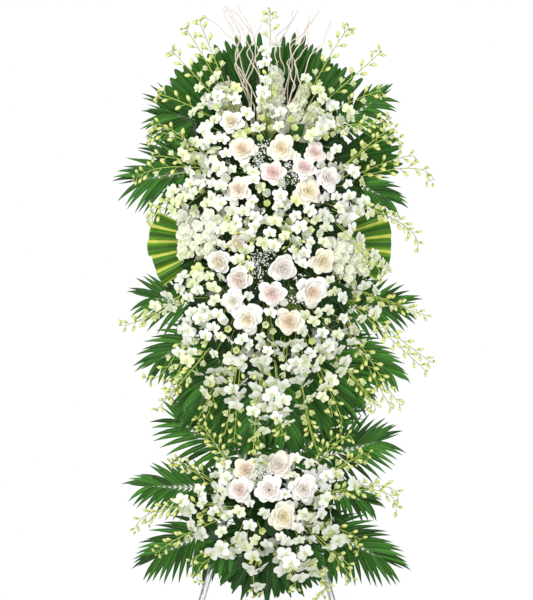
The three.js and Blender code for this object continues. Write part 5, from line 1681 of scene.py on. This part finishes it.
def stock_meshes(name, bunch, peg, paths):
    florets, buds = [], []
    forward = FRONT * (18 if name == "stock_top" else 34)
    for foot, head, width in bunch["spikes"]:
        foot, head = vec(*foot) + forward, vec(*head) + forward
        axis = unit(head - foot)
        side, other = across(axis)
        length = np.linalg.norm(head - foot)
        half = width * 0.5
        start = foot - axis * half * 0.3
        curve = [peg["start"], mix(peg["start"], foot, 0.6), start, head]
        paths.append((curve_at(curve, np.linspace(0, 1, 14)), np.linspace(2.8, 1.4, 14)))
        count = int(length / 6)
        for k in range(count):
            t = k / (count - 1)
            turn = k * GOLDEN_ANGLE
            out = unit(side * math.cos(turn) + other * math.sin(turn))
            swell = half * (0.9 - 0.45 * t)
            root = mix(start, head + axis * half * 0.5, t)
            centre = root + out * (swell - 6) + axis * 4
            if t > 0.86:
                buds.append({"at": root + out * 2, "axes": pointing(unit(out * 0.6 + axis)), "size": 11 - 4 * t})
                continue
            look = nodding(unit(out + axis * (0.1 + 0.4 * t) + FRONT * 0.9), 0.3)
            take(centre, 0)
            paths.append(([root, centre - look], [0.8, 1.0]))
            florets.append(bloom_spot(centre, look, 1.45 - 0.5 * t, 3, 0.3 * some_lime() + 0.3 * t))
    for centre, facing in extra[name]:
        root = root_on(peg, centre)
        paths.append(stem_path([root, mix(root, centre, 0.6) + peg["out"] * 10, centre], 0.9, 0.9, 5))
        florets.append(bloom_spot(centre, facing, draw.uniform(0.85, 1.15), 3, 0.5 * some_lime()))
    return [
        stems(FINE_STEM, paths, 5), copies(STOCK_MOULDS, STOCK_WHITE, florets),
        copies(BUD_MOULDS, BUD, buds),
    ]


FORKS, FORK_FLORETS = 13, 3


def gypsophila_meshes(name, bunch, peg, paths):
    dome, florets = bunch["dome"], []
    for laid_centre in laid[name]:
        centre = laid_centre + outwards(dome, laid_centre) * 16
        root = root_on(peg, centre)
        fork = mix(root, centre, 0.72)
        paths.append(([root, mix(root, fork, 0.5) + FRONT * 2, fork], [1.3, 1.1, 0.8]))
        for _ in range(FORKS):
            tip = centre + draw.normal(0, 12, 3) * vec(1, 0.6, 1)
            knee = mix(fork, tip, 0.5) + draw.normal(0, 2, 3)
            paths.append(([fork, knee, tip], [0.6, 0.45, 0.4]))
            for _ in range(FORK_FLORETS):
                end = tip + draw.normal(0, 5, 3)
                paths.append(([mix(knee, tip, 0.7), end], [0.35, 0.35]))
                florets.append(bloom_spot(end, outwards(dome, end), draw.uniform(0.8, 1.15), 3))
    return [stems(FINE_STEM, paths, 3), copies(TINY_MOULDS, TINY_WHITE, florets)]


TWIG_DRIFT = np.array([56.0, 8.0, 34.0])


def willow_meshes(name, bunch, peg, paths):
    """Curly twigs: each course gets finer kinks, and another twig drifts away from it."""
    courses = list(laid[name])
    for path in laid[name]:
        drift = draw.uniform(-1, 1, 3) * TWIG_DRIFT
        strays = [drift * (0.4 + k / len(path)) * min(k, 1) for k in range(len(path))]
        courses.append([within(point + stray, 3) for point, stray in zip(path, strays)])
    for path in courses:
        course = [path[0]]
        for a, b in zip(path, path[1:]):
            side, other = across(unit(b - a))
            curl = side * draw.uniform(-4.5, 4.5) + other * draw.uniform(-3, 3)
            course += [mix(a, b, 0.35) + curl, mix(a, b, 0.7) - curl * 0.8, b]
        points = np.array(course)
        steps = np.linspace(0, len(points) - 1, 5 * len(points))
        low = np.clip(steps.astype(int), 0, len(points) - 2)
        before, after = points[np.maximum(low - 1, 0)], points[np.minimum(low + 2, len(points) - 1)]
        a, b, t = points[low], points[low + 1], (steps - low)[:, None]
        curve = a + 0.5 * t * (b - before + t * (
            2 * before - 5 * a + 4 * b - after + t * (3 * (a - b) + after - before)))
        paths.append((curve, np.linspace(2.2, 1.3, len(curve))))
    return [stems(BARK, paths, 7)]


# Painted shade: the tone of the backing leaves, almost their deepest green, so that they stand for the shade in
# the gaps between the flowers.
PAINTED_SHADE_TONE = (0.1,) * 3


def leaf_spot(root, direction, facing, size, kind, tone):
    return {"at": root, "axes": axes_of(direction, facing), "size": size, "kind": kind, "tone": tone}


def salal_meshes(name, bunch, peg, paths):
    leaves = []
    for row in laid[name]:
        leaves.append(leaf_spot(row["root"], row["direction"], FRONT, 66, int(draw.integers(2)), shade()))
        paths.append(stem_path(row["curve"], 1.6, 1.2, 8))
    # The backing leaves take the painted shade tone, for the shade between the flowers.
    for root, direction, facing, length in extra[name]:
        leaves.append(leaf_spot(root, direction, facing, length, int(draw.integers(2)), PAINTED_SHADE_TONE))
        start = root_on(peg, root)
        paths.append(stem_path([start, mix(start, root, 0.6) + peg["out"] * 8, root], 1.1, 1.1, 5))
    return [stems(FINE_STEM, paths, 4), copies(BROAD_MOULDS, BROAD_LEAF, leaves)]


LEAFLET_SPACING, LEAFLET_WIDTH = 16, 12.5
# Fronds among the hanging leaves of the lower tier and of the upper tier's skirt.
SHIN_FRONDS = [((-62, 342), (-140, 246), 84, (-122, -150)), ((62, 342), (140, 246), 84, (-122, -150))]
SKIRT_FRONDS = [
    ((-110, 900), (-214, 680), 120, (-62, -50)), ((-60, 900), (-118, 640), 126, (-66, -58)),
    ((-14, 900), (-24, 636), 122, (-72, -66)), ((40, 900), (72, 636), 122, (-72, -66)),
    ((80, 900), (156, 650), 126, (-66, -58)), ((120, 900), (232, 690), 120, (-62, -50)),
    ((-30, 790), (-56, 590), 96, (-84, -88)), ((34, 790), (62, 590), 96, (-84, -88)),
]


TWIN = {"lean": 9, "reach": 0.92, "behind": 9}


def with_twins(fronds):
    """Each frond, and one a little behind it that leans aside."""
    rows = []
    for k, ((x, z), (tip_x, tip_z), length, depths) in enumerate(fronds):
        lean = math.radians(TWIN["lean"] if k % 2 else -TWIN["lean"])
        dx, dz = turned(tip_x - x, tip_z - z, lean)
        rows.append(((x, z), (tip_x, tip_z), length, depths))
        tip = (x + TWIN["reach"] * dx, z + TWIN["reach"] * dz)
        rows.append(((x, z), tip, length, tuple(y + TWIN["behind"] for y in depths)))
    return rows


def palm_meshes(name, bunch, peg, paths):
    leaflets = fronds_of(peg, bunch["fronds"], paths)
    return [stems(RACHIS, paths), leaflets]


def fronds_of(peg, fronds, paths):
    """A mesh of the leaflets of fronds, in pairs. The stalk and rib of each are added to the paths."""
    leaflets = []
    for base, tip, longest, (depth, end_depth), *bend in fronds:
        root = vec(base[0], depth, base[1])
        end = mix(root, vec(tip[0], end_depth, tip[1]), 0.94)
        chord = end - root
        square = unit(vec(-chord[2], 0, chord[0]))
        rib = [root, mix(root, end, 0.5) + square * sum(bend), end]
        leaving = peg["start"] + peg["out"] * 18
        stalk = [peg["start"], mix(leaving, root - chord * 0.12, 0.5), root]
        paths.append(stem_path(stalk, 2.8, 2.8, 8))
        raised = np.linspace(5, -4, 16)[:, None] * FRONT
        paths.append((curve_at(rib, np.linspace(0, 1, 16)) + raised, np.linspace(3.2, 1.2, 16)))
        steps = int(np.linalg.norm(chord) / LEAFLET_SPACING)
        for k in range(steps):
            t = (k + 0.5) / steps
            place, ahead = curve_at(rib, t), tangent_at(rib, t)
            side = unit(np.cross(ahead, FRONT))
            angle = 1.26 - 0.98 * t
            share = 0.6 + 0.45 * math.sin(math.pi * (0.1 + 0.8 * t))
            for hand in (-1, 1):
                lean = angle + draw.uniform(-0.04, 0.04)
                direction = unit(ahead * math.cos(lean) + side * hand * math.sin(lean) + FRONT * 0.04)
                length = fitting(place, direction, longest * share * draw.uniform(0.94, 1.06))
                facing = unit(FRONT + side * hand * draw.uniform(0, 0.25) + draw.normal(0, 0.03, 3))
                look = axes_of(direction, facing)
                sag = -2 * abs(direction[0]) * np.sign(look[2, 0])
                leaflets.append({
                    "at": place + side * hand * 1.5, "axes": look, "kind": int(round(sag)) + 2,
                    "size": (LEAFLET_WIDTH + 4 * share, length, 9), "tone": shade(),
                })
        length = fitting(end, unit(chord), longest * 0.6)
        leaflets.append(leaf_spot(end, unit(chord), FRONT, (7, length, 7), 2, shade()))
    return copies(LEAFLET_MOULDS, PALM_LEAF, leaflets)


FAN_PLEAT = 5


def fan_grid(row, folds, offset=0.0, behind=0.0, reach_share=1.0):
    """Points of a fan leaf's sheet: folded segments round its heart, each with its own blunt tip."""
    segments, notch = row["segments"], row["notch"]
    columns = 2 * segments * folds + 1
    share = np.linspace(0, 1, columns)
    turn = np.radians(mix(row["from"], row["to"], share) + offset)
    off_middle = np.abs(((share * segments) % 1.0) * 2 - 1)
    off_middle[-1] = 1.0
    reaches = np.repeat(draw.uniform(0.95, 1.02, segments), 2 * folds)
    tip = (1 - (1 - notch) * off_middle ** 2.2) * np.append(reaches, reaches[-1])
    rows = np.concatenate([[0.02, 0.15], np.linspace(0.3, 1, 9)])[:, None]
    cut = np.where(rows > 0.5, 1 - (1 - tip) * (rows - 0.5) * 2, 1)
    reach = row["radius"] * reach_share * rows * cut
    pleat = (off_middle * 2 - 1) * row.get("pleat", FAN_PLEAT)
    depth = row["y"] + behind - row.get("tilt", 0) * rows + pleat * rows
    x, z = row["centre"]
    depth = np.broadcast_to(depth, reach.shape)
    return np.stack([x + reach * np.cos(turn), depth, z + reach * np.sin(turn)], axis=-1)


HANGING_LEAVES, HANGING_TURN, HANGING_LENGTH = 21, (196, 344), (204, 226)
HANGING_SIZE, MIDDLE_SIZE = (180, 120), (220, 234, 120)
LOWER_BACKING, LOWER_OVAL = 70, ((0, 395), (200, 120))
HEEL = 40


def lower_leaves(peg, paths):
    """Pointed leaves that hang under the lower tier, in front of the legs, and ones in the tier darkened as
    painted shade for its gaps.
    """
    leaves = []
    for k in range(HANGING_LEAVES):
        angle = math.radians(mix(*HANGING_TURN, k / (HANGING_LEAVES - 1)) + draw.uniform(-3, 3))
        root = vec(14 * math.cos(angle) + 6, -126 - 2 * (k % 3), 340)
        direction = unit(vec(math.cos(angle), -0.16 + 0.05 * (k % 2), math.sin(angle)))
        length = draw.uniform(*HANGING_LENGTH) * (0.8 if k < 5 or k > 15 else 1.04)
        facing = FRONT + vec(draw.uniform(-0.3, 0.3), 0, 0)
        size = (HANGING_SIZE[0], length, HANGING_SIZE[1])
        leaves.append(leaf_spot(root, direction, facing, size, 0, shade()))
        paths.append(([peg["start"], mix(peg["start"], root, 0.5) + vec(0, 0, -8), root], 1.6))
    leaves.append(leaf_spot(vec(0, -124, 340), vec(0, -0.06, -1), FRONT, MIDDLE_SIZE, 0, shade()))
    # Backing leaves in the tier, in the painted shade tone.
    for _ in range(LOWER_BACKING):
        x, z = spot_in(*LOWER_OVAL)
        root = on_dome(LOWER_DOME, (x, z), -draw.uniform(40, 60))
        direction = unit(vec(x / 200, -0.1, (z - 420) / 130) + draw.normal(0, 0.4, 3))
        heel = root - direction * HEEL
        facing = FRONT + draw.normal(0, 0.2, 3)
        leaves.append(leaf_spot(heel, direction, facing, (260, draw.uniform(76, 104), 90), 0, PAINTED_SHADE_TONE))
        bend = vec(x * 0.6, min(root[1] * 0.7, -76), 338 if z < 400 else z - 20)
        paths.append(stem_path([peg["start"], bend, heel], 1.1, 1.1, 6))
    return copies(LANCE_MOULDS, BROAD_LEAF, leaves)


# A leaf that closes the gap between the two at the top, and the leaves behind the segments of each fan.
TOP_MIDDLE = {"centre": (5, 1530), "radius": 262, "from": 76, "to": 104, "segments": 4}
BEHIND_FAN, BEHIND_REACH = 12, 0.93
SHEET = 1.2


def fan_meshes(name, bunch, peg, paths):
    pleated = name in PLEATED
    mould = Mould()
    for leaf in bunch["leaves"]:
        row = dict(zip(FAN_KEYS, leaf))
        heart = vec(row["centre"][0], row["y"], row["centre"][1])
        bend = mix(peg["start"] + peg["out"] * 15, heart, 0.5)
        paths.append(stem_path([peg["start"], bend, heart], 2.6, 2.6, 8))
        mould.sheet(fan_grid(row, 4 if pleated else 3), SHEET)
        if name == "fan_leaves_top":
            mould.sheet(fan_grid({**row, **TOP_MIDDLE}, 3, 0, 22 if row["from"] > 70 else 16), SHEET)
        if not pleated:
            half_segment = (row["to"] - row["from"]) / row["segments"] / 2
            mould.sheet(fan_grid(row, 3, half_segment, BEHIND_FAN, BEHIND_REACH), SHEET)
    mesh = mould.mesh(name)
    mesh.transform(Matrix.Translation(Vector(MAST_FOOT)))
    mesh.materials.append(PLEATED_LEAF if pleated else FAN_LEAF)
    meshes = [mesh]
    if name == "fan_leaves_skirt":
        meshes.append(fronds_of(peg, with_twins(SKIRT_FRONDS), paths))
    if name == "fan_leaves_lower":
        meshes += [fronds_of(peg, SHIN_FRONDS, paths), lower_leaves(peg, paths)]
    return [*meshes, stems(RACHIS, paths, 7)]


def dress(table, build, part):
    """Makes the piece of each bunch of a table."""
    for name, bunch in table.items():
        peg = peg_of(bunch)
        piece(f"{name}_{part}", build(name, bunch, peg, [peg_path(peg)]), name)


# Ovals filled with orchid blooms: their tier, middle, half sizes, spacing, tries and depths.
FILLS = [
    (UPPER_DOME, (0, 1260), (250, 420), 34, 1700, (-22, 14)),
    (UPPER_DOME, (0, 1000), (235, 190), 36, 500, (-22, 10)),
    (LOWER_DOME, (0, 420), (210, 145), 39, 600, (-14, 10)),
    (UPPER_DOME, (20, 940), (200, 140), 31, 300, (-22, 12)),
    (UPPER_DOME, (20, 1610), (180, 100), 31, 300, (-22, 12)),
]
STOCK_FILL = (UPPER_DOME, (0, 1240), (225, 390), 33, 700, (-28, -4))

dress(ROSES, rose_meshes, "heads")
dress(GYPSOPHILA, gypsophila_meshes, "cloud")
dress(WILLOW, willow_meshes, "twigs")
extra = {name: [] for name in [*ORCHIDS, *STOCK, *SALAL]}
for dome, *fill in FILLS:
    for place in fill_places(dome, *fill):
        extra[nearest_bunch(place[0], ORCHIDS, dome)].append(place)
dress(ORCHIDS, orchid_meshes, "spray")
for place in fill_places(*STOCK_FILL):
    extra[nearest_bunch(place[0], STOCK)].append(place)
dress(STOCK, stock_meshes, "spike")

# Leaves behind the flowers close the gaps between them, darkened as painted shade for those gaps, but not behind
# the stock at the sides. They lie deeper over the foam and in the open fronts.
BACKING = {"middle": (0, 1240), "half": (276, 440), "count": 400}
STOCK_SIDES = {"beyond": 222, "from": 1070, "to": 1330}
for _ in range(BACKING["count"]):
    x, z = spot_in(BACKING["middle"], BACKING["half"])
    if abs(x) > STOCK_SIDES["beyond"] and STOCK_SIDES["from"] < z < STOCK_SIDES["to"]:
        continue
    root = on_dome(UPPER_DOME, (x, z), -draw.uniform(50, 70))
    if in_open_front(root) or z > UPPER_FOAM["high"]:
        root[1] = max(root[1], -draw.uniform(70, 84))
    outward = vec(x / BACKING["half"][0], -0.15, (z - BACKING["middle"][1]) / BACKING["half"][1])
    outward = unit(outward + draw.normal(0, 0.35, 3))
    length = draw.uniform(62, 92)
    facing = unit(FRONT + draw.normal(0, 0.25, 3))
    extra[nearest_bunch(root, SALAL)].append((root - outward * length * 0.5, outward, facing, length))
dress(SALAL, salal_meshes, "leaves")
dress(PALMS, palm_meshes, "fronds")
dress(FANS, fan_meshes, "blades")
dress(PLEATED, fan_meshes, "blades")

for group in mould_groups:
    for mould in list(group.objects):
        bpy.data.objects.remove(mould)
    bpy.data.collections.remove(group)

# The studio

scene = bpy.context.scene
scene.view_settings.view_transform = "Standard"

world = bpy.data.worlds.new("studio")
world.use_nodes = True
scene.world = world
sky = world.node_tree
backdrop = sky.nodes["Background"]
backdrop.inputs["Color"].default_value = (1, 1, 1, 1)
rays = sky.nodes.new("ShaderNodeLightPath")
level = sky.nodes.new("ShaderNodeMapRange")
level.inputs["To Min"].default_value = 0.45
level.inputs["To Max"].default_value = 1.0
sky.links.new(rays.outputs["Is Camera Ray"], level.inputs["Value"])
sky.links.new(level.outputs["Result"], backdrop.inputs["Strength"])

FLOOR_HALF = 14.0
floor_mesh = bpy.data.meshes.new("studio_floor")
corners = [(FLOOR_HALF * x, FLOOR_HALF * y, 0) for x, y in ((-1, -1), (1, -1), (1, 1), (-1, 1))]
floor_mesh.from_pydata(corners, [], [(0, 1, 2, 3)])
floor = added("studio_floor", floor_mesh)
paper = Finish("studio_paper", Roughness=0.9, Specular_IOR_Level=0.1)
paper.shader.inputs["Base Color"].default_value = (0.86, 0.86, 0.86, 1)
where = paper.out(paper.node("TexCoord"), "Object")
distance = paper.out(paper.node("VectorMath", {"operation": "LENGTH"}, {0: where}), "Value")
glow = paper.step(distance, 0.6, 1.0)
white = paper.node("Emission", None, {"Color": (1, 1, 1, 1), "Strength": 1.0})
blend = paper.node("MixShader", None, {0: glow, 1: paper.out(paper.shader), 2: paper.out(white)})
paper.tree.links.new(blend.outputs[0], paper.tree.nodes["Material Output"].inputs["Surface"])
floor_mesh.materials.append(paper.material)


def soft_light(name, place, aim, size, power):
    data = bpy.data.lights.new(name, "AREA")
    data.shape, data.size, data.energy = "DISK", size, power
    lamp = added(name, data)
    lamp.location = place
    lamp.rotation_euler = (Vector(aim) - Vector(place)).to_track_quat("-Z", "Y").to_euler()


soft_light("key", (-2.0, -3.4, 3.6), (0, 0, 1.1), 1.0, 100)
soft_light("front", (-0.5, -5.2, 1.2), (0, 0, 0.9), 1.8, 46)
soft_light("fill", (3.0, -3.4, 1.4), (0, 0, 0.9), 2.6, 36)
soft_light("rim", (0.8, 3.0, 3.2), (0, 0, 1.1), 1.6, 60)

LENS = 180
SENSOR = 36
VIEW_HEIGHT = 1.8
VIEW_MIDDLE = (-0.0015, 1.02)
VIEW_PLANE = -0.12
camera_data = bpy.data.cameras.new("camera")
camera_data.lens = LENS
camera_data.sensor_fit = "VERTICAL"
camera_data.sensor_height = SENSOR
camera_data.clip_end = 60
camera = added("camera", camera_data)
reach = VIEW_HEIGHT * LENS / SENSOR
camera.location = (
    MAST_FOOT[0] + VIEW_MIDDLE[0], MAST_FOOT[1] + VIEW_PLANE - reach, VIEW_MIDDLE[1],
)
camera.rotation_euler = (math.pi / 2, 0, 0)
scene.camera = camera
